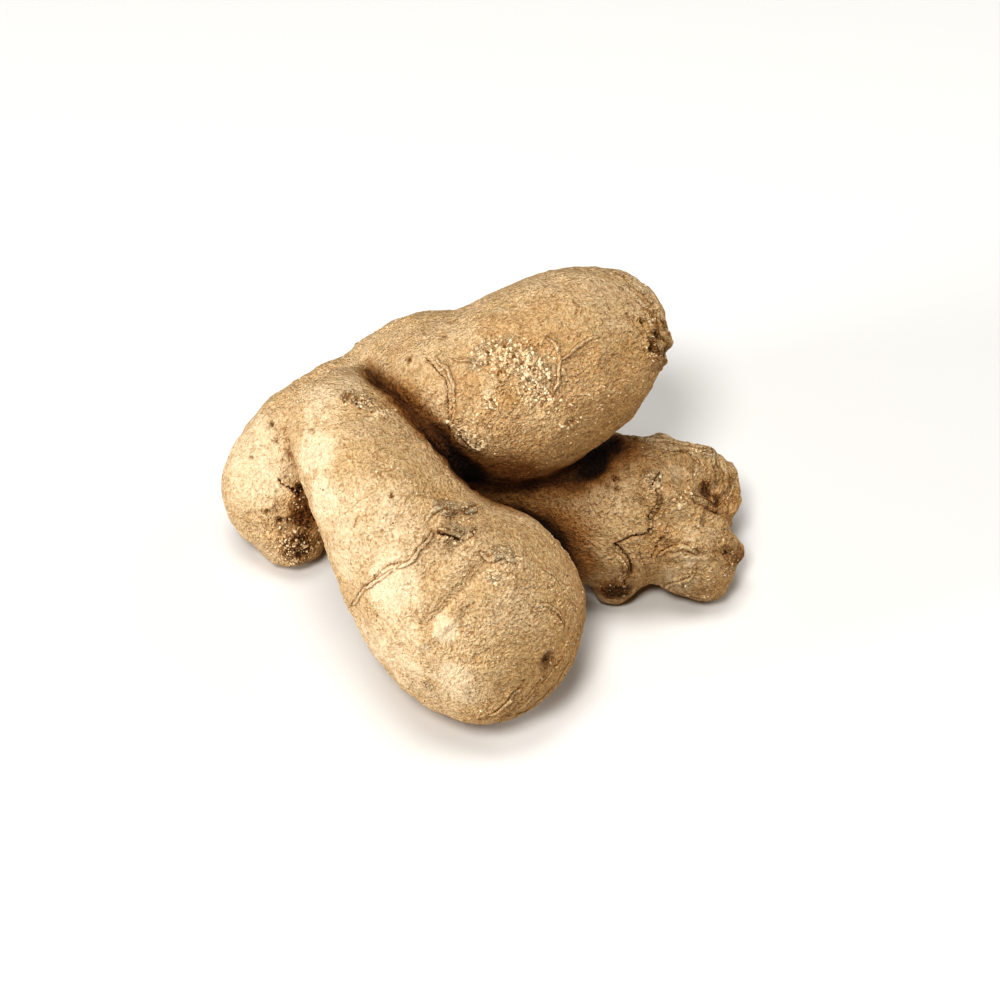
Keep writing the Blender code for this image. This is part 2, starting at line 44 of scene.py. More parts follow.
# A ginger root: one skin with all its relief, narrow folds and loose grains of bark, and a studio.
# Each lobe is a row of stations along its middle: x, y, z and the radius there, in millimetres.
LOBES = {
    "base": (
        (-18, 31.5, 15.5, 16), (-2, 22.5, 17, 16), (10.5, 14.5, 17, 16), (21, 9.5, 16, 16),
        (30, 7.5, 15.5, 16), (39, 10.5, 14.5, 13.3), (44.5, 14, 13.5, 10.5), (47, 15.5, 13.5, 8),
    ),
    "upper": (
        (-28, 28, 30, 7), (-20, 30, 32.5, 9.5), (-11.5, 26, 36.5, 14), (-3.5, 17.5, 40, 17.2),
        (5, 14.5, 43.7, 19), (12.5, 15, 48.5, 19), (18.7, 17, 52.3, 17.5), (25, 20, 55, 13.1),
    ),
    "left": (
        (-29.5, 24.5, 30, 7), (-33.5, 23, 27.5, 9), (-38.5, 21, 23, 10.5),
        (-44, 15.5, 15, 11), (-42, 12.5, 10.5, 9.5), (-40.5, 10, 7.5, 8),
    ),
    "front": (
        (-26, 20.5, 35, 7.5), (-28.7, 12.5, 39.5, 8.8), (-27.7, 6.5, 40, 11.4),
        (-22.5, -2, 38.5, 13.9), (-17.5, -10.5, 34.5, 15.4), (-12, -16.5, 29, 17.3),
        (-6, -21.5, 23.8, 19.5), (-0.2, -25, 20.5, 21.2), (0.5, -31, 18, 15.9),
    ),
    "end_knob": ((35, 5.5, 13, 9.5), (41.5, 2.8, 11.3, 10), (45.3, 0, 9.4, 8.8), (48, -3, 6, 5)),
    "bud": ((29.5, 1.5, 10, 8.5), (28.5, -3, 5.5, 5.2)),
    "spur": ((50, 2.5, 10, 4), (54, 0, 11, 1.5)),
}
# How widely each lobe runs into the ones above it in the list.
FILLETS = {"base": 0, "upper": 5, "left": 8, "front": 2.4, "end_knob": 1.6, "bud": 1.6, "spur": 2}
BEAD_STEP = 0.6
LINE_STEP = 0.8

# Cracks and creases: half width, depth and the points that each runs through.
CRACKS = (
    # the long crack across the front finger
    (0.7, 0.6, (-9.5, -24.5, 44.5), (-10.5, -26, 43.5), (-12.5, -29, 41.5), (-15, -29.5, 40.5),
     (-18, -29.5, 39), (-21, -30, 35.5), (-23.5, -29.5, 32), (-25.5, -27, 24.5)),
    # the crack round the pale swelling on it, and short ones near it
    (0.6, 0.3, (-26.5, -19, 44), (-23.5, -18.5, 46.5), (-20.5, -17.5, 48), (-18, -15, 49)),
    (0.6, 0.35, (-16.5, -11.5, 50.5), (-17, -13.5, 50), (-18.5, -14, 49.5), (-20.5, -14.5, 49.5)),
    (0.8, 0.9, (-7.5, -25, 44), (-6, -25.5, 43.5), (-4, -25.5, 43), (-1.5, -25, 42.5), (-1, -23.5, 42.5)),
    (0.6, 0.25, (-12.5, -34, 37), (-13, -35.5, 35.5), (-14, -36, 34)),
    (0.6, 0.35, (-0.5, -39.5, 35.5), (-0.5, -41.5, 33.5)),
    # arcs on its right cheek and under its end
    (0.7, 0.35, (10.5, -37.5, 34), (13, -35.5, 33), (15.5, -35, 30.5), (17, -35, 28)),
    (0.7, 0.25, (13, -30, 36), (14.5, -31.5, 33.5), (14.5, -33.5, 33)),
    (0.7, 0.55, (0, -46, 13), (2.5, -46.5, 15), (5, -46, 18), (7.5, -45.5, 20.5), (9, -44.5, 22.5)),
    (0.6, 0.45, (4, -45.5, 13), (8, -45, 17), (11.5, -43, 20.5), (15, -39, 22)),
    (0.6, 0.35, (5, -45, 7), (12, -42, 11.5), (16.5, -38, 15.5), (19, -34, 18), (20.5, -29, 22)),
    # where its top end meets the others
    (0.6, 0.35, (-24.5, 19, 45), (-28, 16, 47), (-32, 13.5, 47), (-35, 11, 44)),
    # the ring round the neck of the upper finger
    (0.8, 0.85, (-10, 11, 56), (-7.5, 7.5, 56.5), (-6, 4.5, 55), (-6, 2, 53), (-6, 0, 50),
     (-6.5, -0.5, 47.5)),
    (0.6, 0.4, (-9, 5, 53), (-10.5, 4.5, 51), (-12, 4.5, 49.5), (-14, 6, 48.5)),
    (0.6, 0.4, (-11.5, 25, 53.5), (-11, 19.5, 55.5)),
    (0.7, 0.6, (-17.5, 25, 50), (-19.5, 23, 48.5)),
    (0.6, 0.35, (4, -3.5, 51.5), (6, -2.5, 54.5), (8.5, -1, 58)),
    (0.6, 0.3, (6.5, -3.5, 52), (8.5, -2.5, 55.5), (11, -1.5, 57.5)),
    (0.6, 0.5, (19, 14, 70), (20, 13, 69.5), (19.5, 12, 69)),
    # round the broken tip of the upper finger
    (0.8, 0.8, (27, 26, 67), (32, 23, 65.5), (34, 20, 64.5), (35.5, 17.5, 62), (37.5, 17.5, 58)),
    (0.7, 0.5, (29.5, 14, 66.5), (31, 13, 65), (32, 11.5, 63)),
    (1.2, 1.3, (32.5, 14, 64), (33, 12.5, 62.5), (34, 11.5, 60.5), (35, 11, 57.5)),
    # the crack that divides the right lobe from its knobs
    (0.8, 0.9, (36.5, 4, 30), (35.5, 1.5, 29.5), (36.5, 0, 28), (36.5, -2, 26.5), (35, -3.5, 26),
     (35.5, -4.5, 25), (34.5, -6, 23.5), (31.5, -6.5, 23), (28.5, -7.5, 21.5)),
    (0.9, 0.9, (28.5, -7.5, 21.5), (30.5, -8.3, 19), (31.5, -8.5, 16.5), (31.5, -8.5, 14), (30, -8.5, 11)),
    (0.7, 0.35, (23, 4, 31.5), (25, 6, 32), (27.5, 6.5, 32)),
    (0.7, 0.35, (33, 6, 31), (36, 8.5, 30.5), (38, 8, 30)),
    (0.9, 1.0, (43.5, 2.5, 25.5), (46, 2.5, 23.5), (48.5, 2.5, 20.5), (51.5, 3.5, 16.5)),
    (0.7, 0.8, (37.5, -5.5, 21.5), (36.5, -6.5, 20), (35.5, -7.5, 18.5)),
    (0.6, 0.45, (44.5, -7, 14), (44, -8, 12), (42.5, -8, 9)),
    (0.7, 0.5, (33, -7.5, 19.5), (34, -8, 17), (34.5, -8, 14)),
    # upright folds on its end face
    (0.7, 0.5, (49, 15, 23.5), (50, 11, 23), (51, 8, 21.5)),
    (0.7, 0.5, (52, 17.5, 20), (52.5, 12.5, 20), (53, 9, 19)),
    (0.7, 0.4, (47, 12.5, 25), (48, 9.5, 25)),
    # the slit in the left finger
    (0.8, 1.0, (-41.5, 8.5, 24), (-40, 8, 22.5), (-38, 7.5, 20.5)),
)
# Wide soft furrows: half width, height, which is below zero, and their points.
FURROWS = (
    (1.8, -1.5, (1.5, -30, 41.5), (0, -32, 40.5), (-3, -35.5, 39), (-6.5, -38, 36.5), (-9, -39.5, 34)),
    (2.6, -0.7, (-3, -24, 43.5), (-7, -30, 41.5), (-12, -35, 37)),
    (3, -0.6, (26, 4, 31.5), (30, 0, 29), (33, -3, 27)),
)
# A raised line on the upper finger and its branch. Narrow folds of bark run along both.
ARC = ((13.5, 7, 66.5), (15.5, 4.5, 65.5), (16, 2.5, 63.5), (15.5, 0, 60.5), (14.5, -1.5, 57.5))
BRANCH = ((16, 3, 64), (18.5, 4.5, 65), (21, 6, 66), (23.5, 7.5, 66))
# Raised lines of skin: half width, height and the points that each runs through.
RIDGES = (
    (1.2, 1.0, (-2.5, -37, 38), (-4.5, -39, 36), (-7, -40.5, 33.5), (-9.5, -41, 31), (-11, -41, 29.5)),
    # folds of the scab on the front finger
    (0.8, 0.9, (-9.5, -19, 46.5), (-8, -20, 45.5), (-6.5, -21, 45), (-5, -20, 44.5)),
    (0.8, 0.9, (-6.5, -21, 45), (-4, -19.5, 44), (-1.5, -17, 43), (-0.5, -16.5, 42.5)),
    (0.8, 0.9, (-8, -24, 44), (-6.5, -24.5, 43.5), (-4.5, -24, 43.5), (-2.5, -24, 43), (-1, -24.5, 42.5)),
    # raised lines on the upper finger
    (0.8, 0.4, *ARC, (13.5, -3, 54.5)),
    (0.7, 0.35, (-8, 10.5, 57.5), (-5, 8.5, 59), (-2, 6.5, 60), (2, 4.5, 61)),
    (0.7, 0.4, *BRANCH),
    (0.8, 0.3, (24, 4, 63.5), (24.5, 2, 61), (25.5, 1, 58), (27, 0.5, 54)),
    (1.3, 0.5, (-6, 7.5, 57.5), (-4.5, 4, 56.5), (-4, 1, 53.5), (-4.5, -1, 50)),
    (0.6, 0.35, (21.5, 13, 69.5), (23, 12, 69), (24.5, 12, 68.5)),
    (0.7, 0.25, (6.5, 11.5, 67), (10, 8, 67), (12.5, 6.5, 67)),
    (0.7, 0.25, (15.5, 8.5, 68), (18.5, 7.5, 67.5), (20, 8.5, 68)),
    # folds on the right lobe and its knobs
    (1.3, 0.7, (37.5, 5, 30), (34, 1.5, 30), (34.5, -2, 27.5), (32.5, -4, 26.5)),
    (0.7, 0.4, (28, 13.5, 31), (32.5, 13, 30), (37.5, 13.5, 29)),
    (1.1, 0.7, (38, -5, 22), (41.5, -4, 20), (45, -3.5, 18), (47, -4, 16.5)),
    (0.9, 0.5, (36.5, -7, 16.5), (39, -6, 17.5), (42.5, -5.5, 16.5), (45.5, -6, 15)),
    (1.0, 0.6, (42.5, 0.5, 25), (45.5, 0, 23), (48, 0, 20), (50.5, 0.5, 17)),
    (0.9, 0.6, (50, 17, 20), (51.5, 14, 20.5), (52.5, 10, 19)),
    (0.9, 0.6, (52, 18, 17), (53.5, 14, 17), (54, 10, 15.5)),
)
# Root pits: x, y, z, radius and depth.
PITS = (
    (-26, 5, 52, 1.3, 1.3), (-24.5, 3.5, 52, 1, 0.8), (-31, -8, 43.5, 0.8, 0.5),
    (-32.5, 0.5, 46.5, 0.7, 0.3), (-17, -17, 45, 0.7, 0.4), (-26, -25.5, 27, 0.7, 0.4),
    (13.5, -41, 24.5, 1.5, 0.7), (-43.5, 17.5, 31.5, 0.7, 0.5), (-42.5, 14, 30, 0.7, 0.4),
    (-47.5, 14.5, 27.5, 0.6, 0.4), (-48, 13, 26, 0.6, 0.4), (-44.5, 5, 18, 0.7, 0.5),
    (-42, 4, 16, 0.9, 0.7), (-40.5, 4.5, 16, 0.7, 0.5), (-37.5, 8, 21, 1.1, 1.1),
    (-6, 20.5, 59, 0.9, 0.7), (-8.5, 17, 58.5, 0.7, 0.4), (-7.5, 15.5, 59.5, 0.7, 0.4),
    (-14.5, 14, 54, 0.7, 0.6), (18.5, -3.5, 52.5, 0.9, 0.5), (34, 11, 60, 1.2, 1.0),
    (42.5, 13, 27.5, 0.8, 0.8), (28, 2.5, 31, 0.8, 0.7), (28.5, 0, 30, 0.8, 0.4),
    (50.5, -3.5, 14.5, 1.4, 0.8),
)
# Dents and swellings: x, y, z, radius and height, which is below zero for a dent.
SWELLINGS = (
    (47.3, 4.8, 24, 1.8, -0.8), (35.3, 14, 60.5, 1.7, -0.9), (48.5, 6.3, 23, 3.4, -2.4),
    (51.5, 7, 19, 3, -1.6), (44, 7, 26.5, 3, -0.7), (47.5, 14, 24.5, 4, 0.9), (28.5, -7.5, 17, 2.2, 0.8),
    (26, 0, 30, 6, 0.6), (40.5, 1, 26.5, 3.5, 0.7), (41, -6, 14, 5, 0.7), (31, 10, 31, 4, 0.4),
    (-16, -32.5, 37, 8, 0.7), (-18.5, -20.5, 45, 8, 0.6), (-12, -5.5, 47.5, 1.5, 0.8),
    (-5, -21.5, 44.5, 6, 0.7), (6.5, -29, 40.5, 4.5, 0.5), (-12, -27, 43, 4, 0.5), (-7, 8, 55, 5, 0.4),
    (6, 2, 62, 8, 0.5), (-14.5, 29, 51, 1.9, 0.9), (24, 5, 64.5, 1.9, 0.7), (29.5, 15.5, 30, 1.4, 0.9),
    (33, 15.5, 29, 1.1, 0.5), (38, 19, 25.5, 1.9, 1.4), (48, 16, 23.5, 1.7, 0.9), (43, 2.5, 26, 1.3, 0.9),
    (41, -0.5, 25.5, 1, 0.5), (43.5, -0.5, 23.5, 1, 0.5), (38, 15, 58, 1.5, 1.0),
    (37, 13.5, 53.5, 1.3, 0.9), (35, 17.5, 64, 1.6, 0.6),
)
# Crumbling patches of bark: x, y, z, radius, grain size and grain height.
SCABS = (
    (-26, 5, 52, 2.6, 1.4, 0.7), (-23, 3.5, 52, 3.2, 1.4, 0.8), (-20, 1, 52, 2.6, 1.3, 0.6),
    (-6.5, -20, 45.5, 3, 1.4, 0.6), (-2.5, -18.5, 43.5, 2.6, 1.4, 0.6), (-4.5, -24.5, 43.5, 3, 1.4, 0.6),
    (5, -29, 41, 3.4, 1.2, 0.7), (3, -33, 40, 2, 1.1, 0.5), (-39.5, 2, 8.5, 5, 1.5, 0.8),
    (0, 7, 62, 4, 1.1, 0.5), (5, 5.5, 64, 4.5, 1.1, 0.6), (9, 3.5, 64, 5, 1.1, 0.6),
    (12, 0, 61.5, 5, 1.1, 0.6), (-2.5, -3, 47, 3.6, 1.3, 0.8), (2, -1.5, 56.5, 1.8, 1.2, 0.5),
    (37, 14, 57.5, 6, 2.2, 1.0), (36, 3, 30, 2.4, 1.2, 0.6), (52, -3, 12.5, 4, 1.6, 0.9),
    (29, -7, 8, 4, 1.6, 0.8), (47, 14, 25.5, 3, 1.3, 0.6), (-9.5, -44, 20.5, 2.4, 1.1, 0.4),
    (13.5, -41, 24.5, 3, 1.1, 0.5),
)
BREAK_MIDDLE = (-30, 43, 16)
BREAK_RADIUS = 9
BREAK_DEPTH = 1.4
BREAK_RIM = 0.6
BREAK_GRAIN = 2

SOIL_SIDE = np.array((0, 0.75, -0.65))
# The side turned from the light, which the material tints as painted shade, and the range over which that
# fades in.
SHADED_SIDE = np.array((0.75, -0.15, -0.64))
SHADED_FADE = (-0.2, 0.9)
RING_SPACING = 10.5
RING_DEPTH = 0.4
RING_HALF_WIDTH = 0.8
SOIL_PITS = 22
SOIL_PIT_DEPTH = 0.6
SOIL_STUBS = 9
SOIL_DRAWS = 400
DRAW_BOX = ((-55, -47, 0), (55, 47, 69))

# Unevenness of the whole surface: wavelength and height. The first three are the solid's own.
SWELLS = ((19, 0.5), (8, 0.42), (3.6, 0.22))
WRINKLES = ((2.1, 0.14), (1.2, 0.1))
CREST_WAVELENGTH = 4.2
CREST_HEIGHT = 0.24
REST_FADE = 3.5
CREASE_FADE = (0.45, 0.95)
WANDER = 0.5
WANDER_WAVELENGTH = 2.6
LINE_REACH = 6
LIP_PLACE = 1.9
LIP_SHARE = 0.3
CRACK_NARROWING = 0.45
RIM_PLACE = 1.5
RIM_SHARE = 0.25

VOXEL = 0.36
TRIANGLES = 198000
SPHERE_SPACING = 2
FLOOR_SNAP = 0.03
SETTLE_ROUNDS = 4
LEAST_STEEPNESS = 0.05
NOISE_PERIOD = 32
CHUNK = 20000
# How near another finger is, at three scales, and how much each counts.
GAP_REACHES = ((2.5, 0.45), (6, 0.35), (12, 0.2))
FAR = 99.0


def colour(red, green, blue):
    """A shade given as it looks on a screen, 0 to 255, as the linear values that a shader takes."""
    shades = [value / 255 for value in (red, green, blue)]
    return (*[s / 12.92 if s < 0.04 else ((s + 0.055) / 1.055) ** 2.4 for s in shades], 1)


# Patches of skin: x, y, z, radius and strength. Pale and yellowish ones, some of them painted highlights
# where the light falls on the left and front flanks, the front finger's end and the right knob:
PALE_AND_HIGHLIGHT = (
    (-16, -32.5, 37, 8, 1.0), (-6.5, -40.5, 33.5, 4, 0.9), (-45.5, 8.5, 24, 9, 0.8),
    (-48.5, 16.5, 27.5, 8, 0.7), (-27, 9.5, 51, 6, 0.7), (-33.5, -5, 47, 8, 1.0),
    (-31.5, -14, 41.5, 8, 0.9), (-26.5, -24.5, 35.5, 8, 0.6), (-22, -32.5, 20.5, 9, 0.6),
    (-27, 25.5, 41, 6, 0.5), (43, -3, 20, 8, 0.7), (-4, -40, 22, 9, 0.7), (-20, -20, 42, 14, 0.6),
    (-30, 5, 46, 10, 0.6), (-45, 14, 22, 14, 0.7), (-12, -38, 25, 14, 0.6), (-38, 14, 42, 10, 0.6),
    (43, -6, 13, 7, 0.7),
)
# orange-brown ones:
RUST = (
    (-16.5, 19, 51.5, 6, 0.8), (-26, 4, 52, 5, 0.7), (-16.5, 6, 48.5, 7, 0.8), (-5, -21.5, 44.5, 7, 0.6),
    (0, -24, 42, 5, 0.4), (-13.5, -27, 43, 4, 0.4), (-2, 2, 57, 6, 0.7), (-38, 7.5, 19, 5, 0.6),
    (12, -4, 49, 10, 0.5), (-9.5, -44, 20.5, 3.2, 0.9), (13.5, -41, 24.5, 4, 0.8), (12, 8, 62, 16, 0.8),
    (22, 4, 58, 12, 0.8), (30, 8, 28, 12, 0.6), (48, 8, 20, 8, 0.6), (5, -2, 52, 9, 0.7),
    (10, -36, 12, 10, 0.5),
)
# ones with soil or dark decay on them, and painted shade in the hollow between the right lobe's knobs and
# beside the bud:
SOIL_AND_SHADE = (
    (-39, 2.5, 10, 4.5, 0.75), (-37, 5.5, 14.5, 4, 0.6), (35, 14, 61, 2, 0.8), (36, 13, 57.5, 1.6, 0.7),
    (52, -1, 11, 3, 0.6), (28.5, -4, 6, 4, 0.7), (50, 6, 20, 2.4, 0.4), (31, -8.5, 16, 2, 0.5),
    (45, -9, 9, 3, 0.3), (47.5, 4.5, 23.5, 2.4, 0.8), (48.7, 3.6, 21, 1.8, 0.6),
    (48.3, 6.3, 23.2, 2.8, 0.9), (50.3, 6.2, 20, 2.2, 0.8), (26, -8, 9, 1.8, 0.5),
    (-38, 8, 21.5, 2.2, 0.9), (13.5, -41, 24.5, 2.6, 0.45),
)
# ones with painted shade, in the gaps between the fingers and under them:
PAINTED_GAP_SHADE = (
    (10, -4, 24, 9, 0.25), (17, -4, 24, 8, 0.2), (28, -6, 7, 6, 0.3), (20, -8, 14, 7, 0.25),
    (16, 4, 33, 8, 0.3), (24, 4, 33, 5, 0.35), (12, -4, 38, 9, 0.15), (-36, 6, 18, 5, 0.25),
    (9, -4.5, 41, 7, 0.2), (32, 12, 30, 7, 0.22), (26.5, -8, 9.5, 3, 0.3),
)
# and more deeply wrinkled ones.
ROUGH = (
    (38, 2, 26, 14, 0.8), (44, -6, 14, 11, 0.9), (30, 4, 28, 10, 0.6), (52, 8, 18, 9, 0.9),
    (6, 2, 60, 10, 0.7), (-2, -1, 50, 8, 0.7), (-5, -20, 45, 9, 0.4), (-39, 4, 14, 9, 0.8),
    (42, 4, 20, 16, 1.5), (-16.5, 6, 48.5, 7, 0.5), (6, -31, 40, 6, 0.4), (34, 13, 61, 8, 0.6),
)
# Fine growth lines: the pole they run round, how far they reach, spacing and height.
GROWTH_LINES = (
    ((15, -32, 7), 24, 2.1, 0.08), ((44, -8, 10), 13, 1.7, 0.2), ((54, 8, 12), 12, 1.7, 0.2),
    ((40, 17, 60), 14, 2.1, 0.14),
)
# Sharp folds of bark: half width and the points that each runs along.
FOLDS = (
    # the scab on the front finger and the grainy row beside it
    (0.59, (-8.5, -20.5, 45.5), (-7.5, -20, 45.5), (-6.5, -19, 45.5), (-5, -18.5, 45), (-4, -19, 44.5)),
    (0.56, (-10.5, -23, 45), (-9, -21, 45.5), (-7.5, -20.5, 45.5)),
    (0.63, (-3.5, -20, 43.5), (-1.5, -18.5, 43), (-0.5, -17, 42.5)),
    (0.63, (-8, -24.5, 44), (-5.5, -25, 43.5), (-3.5, -25, 43), (-1, -24.5, 42.5)),
    (0.7, (-7.5, -23.8, 44), (-5, -24, 43.5), (-3, -23.8, 43), (-1, -23.3, 42.5)),
    (0.56, (0.5, -28.5, 42), (2, -29, 41.5), (3.5, -29, 41.5), (5, -29, 41), (6.5, -29.5, 40.5),
     (8, -29.5, 40)),
    # the lips of the long crack and of the ring
    (0.36, (-9, -25.2, 44.5), (-11, -27.5, 43), (-13.5, -30, 41), (-16, -30.5, 40)),
    (0.33, (-17, -30.5, 39.5), (-20.5, -31, 36), (-23.5, -30.3, 31.5), (-25, -28.5, 26.5)),
    (0.28, (-8.8, 11, 57.5), (-6.3, 7.5, 57.5), (-4.9, 4.5, 56), (-4.8, 2, 54), (-5, -0.3, 50.5)),
    # wrinkles along the right cheek and the end of the front finger
    (0.34, (1, -46.5, 13.5), (3.5, -46.8, 15.5), (6, -46.3, 18.5), (8.5, -45.6, 21)),
    (0.3, (5, -45.5, 12), (9.5, -44.5, 16), (13, -41.5, 19.5), (16, -37.5, 22)),
    (0.3, (8, -44.5, 9), (14, -40.5, 14), (18, -36, 18), (20, -31, 21.5)),
    (0.26, (10, -37, 35), (12.5, -35, 34), (15, -34.5, 31.5), (17, -34.5, 28.5)),
    (0.26, (12, -28, 37), (15, -28.5, 34), (17.5, -29.5, 30.5), (19, -30, 26.5)),
    # the upper finger
    (0.32, *ARC),
    (0.26, *BRANCH),
    (0.26, (-5, 8.5, 59), (-2, 6.5, 60), (2, 4.5, 61)),
    (0.56, (-4, -2, 49), (-2, -3, 48), (0.5, -3, 47.5)),
    (0.49, (-5, -1.5, 47.5), (-3, -3, 46), (-0.5, -4, 45.5)),
    # its broken tip
    (0.63, (29, 25, 66.5), (31, 22.5, 66.5), (33, 20.5, 65.5), (35, 18.5, 63.5), (36.5, 17.5, 60.5)),
    (0.49, (27, 22, 67.5), (30.5, 19.5, 67), (33, 17.5, 65.5), (34.5, 16, 63.5)),
    (0.63, (33, 16, 65), (34, 14.5, 63.5), (34.8, 12.7, 60.5), (35.5, 11.5, 57.5)),
    (0.63, (35.3, 17, 63), (36.8, 15.5, 60.5), (37.2, 14.5, 57.5), (36.8, 13, 54.5)),
    # the right lobe's top edge and end
    (0.56, (28.5, 13.5, 31), (32.5, 14.5, 29.5), (38, 14, 28.5), (43, 12.5, 27), (46, 11.5, 26)),
    (0.49, (29, 17, 29.5), (34, 17.5, 28), (39, 17, 27), (44.5, 16.5, 25), (49, 16, 22.5)),
    (0.56, (51.5, 17, 20.5), (53, 14, 19.5), (53.5, 11, 18), (53, 7.5, 17)),
    (0.49, (49.5, 17, 22.5), (51, 13.5, 22), (52, 10, 20.5), (51.5, 8, 19)),
    (0.42, (47.5, 15.5, 24), (49, 12, 23.5), (50, 9, 22.5)),
    # the edge of the hollow and the knobs
    (0.7, (43, 2, 25.3), (45, 2, 24), (48.3, 2.6, 21), (51, 2.7, 17.5)),
    (0.49, (36.5, -7, 18), (39, -6, 18.5), (41.5, -4.5, 18), (45, -5, 16)),
    (0.42, (39, -6, 7), (41.5, -7.5, 10.5), (44, -8, 12.5), (44.5, -7, 14.5)),
    (0.49, (36.8, 1.2, 29), (37, -1.5, 27.5), (35.7, -3.8, 26), (35.3, -6.4, 23)),
    (0.49, (28, -8.5, 20), (29.5, -9.3, 18), (30.3, -9.5, 15), (29.3, -9.3, 12)),
)
FOLD_STEP = 0.3
FOLD_SIDES = 8
FOLD_FOOT = 0.7
FOLD_WANDER_WAVELENGTH = 2.2

# Grains of bark: x, y, z, how far they spread, how many, their radius and how pale they are.
CRUMBS = (
    (-26, 5, 52, 2.6, 36, 0.34, 0.35), (-23, 3.5, 52, 3.2, 70, 0.33, 0.5), (-20, 1, 52, 3, 55, 0.33, 0.5),
    (-6.5, -20.5, 45, 2.6, 12, 0.42, 0.35), (-2, -18.5, 43.3, 2.2, 10, 0.42, 0.35),
    (-4.5, -24.5, 43.5, 3, 20, 0.42, 0.35), (-4, -25, 43, 4, 24, 0.28, 0.55),
    (5, -28.8, 41, 2.4, 14, 0.45, 0.5), (8, -29.5, 39.8, 2.6, 14, 0.45, 0.5),
    (3, -33, 40, 2.2, 45, 0.3, 0.6), (0, 7.5, 62, 4, 60, 0.3, 0.5), (4, 5, 62.5, 3.6, 120, 0.4, 0.52),
    (8.5, 4, 63.5, 4, 130, 0.42, 0.5), (11.5, 1.5, 62, 4, 130, 0.42, 0.5),
    (13.5, -1.5, 57.5, 3, 60, 0.34, 0.5), (-3.5, -2.5, 47, 4, 170, 0.38, 0.5),
    (-1, -3.5, 46.5, 3.5, 110, 0.4, 0.55), (2, -0.5, 56, 1.8, 30, 0.35, 0.6),
    (10.5, -1, 58.5, 3, 60, 0.33, 0.6), (18.5, -2.5, 52, 3, 26, 0.4, 0.5),
    (-39, 2.5, 10, 5, 150, 0.4, 0.35), (-38, 7.5, 19, 3, 50, 0.3, 0.4), (36, 2, 29.5, 2.6, 34, 0.36, 0.6),
    (43, 2.5, 26, 1.4, 10, 0.4, 0.7), (41, -0.5, 25.5, 2.4, 14, 0.42, 0.6),
    (46, 14, 25.5, 2.4, 26, 0.36, 0.65), (34, 12, 61, 3.5, 60, 0.36, 0.35),
    (51, -4.5, 12.5, 3, 50, 0.36, 0.2), (29, -7, 12, 3, 30, 0.34, 0.25), (36, 18, 63, 2.5, 30, 0.35, 0.5),
)
CRUMB_SPREAD = 0.45
CRUMB_SIZES = (0.4, 1.3)
CRUMB_SINK = 0.25
STRAY_CRUMBS = 2600
STRAY_SIZES = (0.14, 0.3)

BARK_LIGHT = colour(218, 191, 153)
BARK_DEEP = colour(209, 179, 135)
BARK_PALE = colour(231, 213, 184)
BARK_CREAM = colour(235, 219, 187)
BARK_RUST = colour(197, 158, 110)
BARK_RED = colour(158, 104, 74)
BARK_SHADE = colour(162, 121, 74)
BARK_BROWN = colour(130, 92, 52)
BARK_DARK = colour(84, 54, 32)
SOIL_AND_SHADE_BLACK = colour(34, 20, 11)
# Tints that multiply the skin's colour: painted shade on the side turned from the light and on rough skin,
# more ochre for darker bark, and painted shade in the gaps and on the soil patches.
PAINTED_SHADE_OCHRE = (0.95, 0.81, 0.6, 1)
WARMER = (1.0, 0.88, 0.65, 1)
SHADE_AND_SOIL_BROWN = (0.6, 0.47, 0.33, 1)

BARK_SHINE = 0.3
# Patterns in the bark: how far apart their features lie, in millimetres.
COARSE = 0.68
MEDIUM = 0.38
FINE = 0.2
PEBBLES = 0.85
CRUMBLING = 0.7
TONES = 11
BLOTCHES = 3.6

# Soft lights: name, direction, size in metres, power in watts and colour.
LIGHTS = (
    ("low_left", (-0.92, -0.34, 0.2), 0.36, 9.2, (1.0, 1.0, 1.02)),
    ("front", (-0.15, -0.5, 0.85), 0.3, 6.8, (1.0, 0.995, 0.98)),
    ("top", (-0.1, 0.0, 0.99), 0.6, 5.6, (1.0, 0.99, 0.97)),
    ("back", (0.76, 0.2, 0.58), 0.9, 4.6, (1.0, 0.99, 0.97)),
)
LIGHT_DISTANCE = 1.2
FLOOR_COLOUR = (0.745, 0.74, 0.727, 1)
FLOOR_HALF_WIDTH = 3
# The camera, in millimetres.
CAMERA_AIM = (4.23, 25.06, 0)
CAMERA_TILT = math.radians(47)
CAMERA_DISTANCE = 611.1
LENS = 100
SENSOR = 36


def curve_through(points, step):
    """A smooth curve through rows of numbers, sampled about every step millimetres."""
    rows = np.array(points, float)
    rows = np.vstack([2 * rows[0] - rows[1], rows, 2 * rows[-1] - rows[-2]])
    samples = []
    for a, b, c, d in zip(rows, rows[1:], rows[2:], rows[3:]):
        count = max(2, int(np.linalg.norm((c - b)[:3]) / step))
        t = (np.arange(count) / count)[:, None]
        linear = (c - a) * t
        square = (2 * a - 5 * b + 4 * c - d) * t**2
        cube = (3 * b - a - 3 * c + d) * t**3
        samples.append(0.5 * (2 * b + linear + square + cube))
    samples.append(rows[-2][None])
    return np.vstack(samples)


def nearest(points, centres, radii=0.0):
    """Distance from each point to the nearest sphere, and that sphere's index."""
    distance = np.empty(len(points))
    index = np.empty(len(points), int)
    for start in range(0, len(points), CHUNK):
        part = slice(start, start + CHUNK)
        squares = (points[part] ** 2).sum(axis=1)[:, None] + (centres**2).sum(axis=1)
        squares -= 2 * points[part] @ centres.T
        gaps = np.sqrt(np.maximum(squares, 0)) - radii
        index[part] = gaps.argmin(axis=1)
        distance[part] = gaps.min(axis=1)
    return distance, index


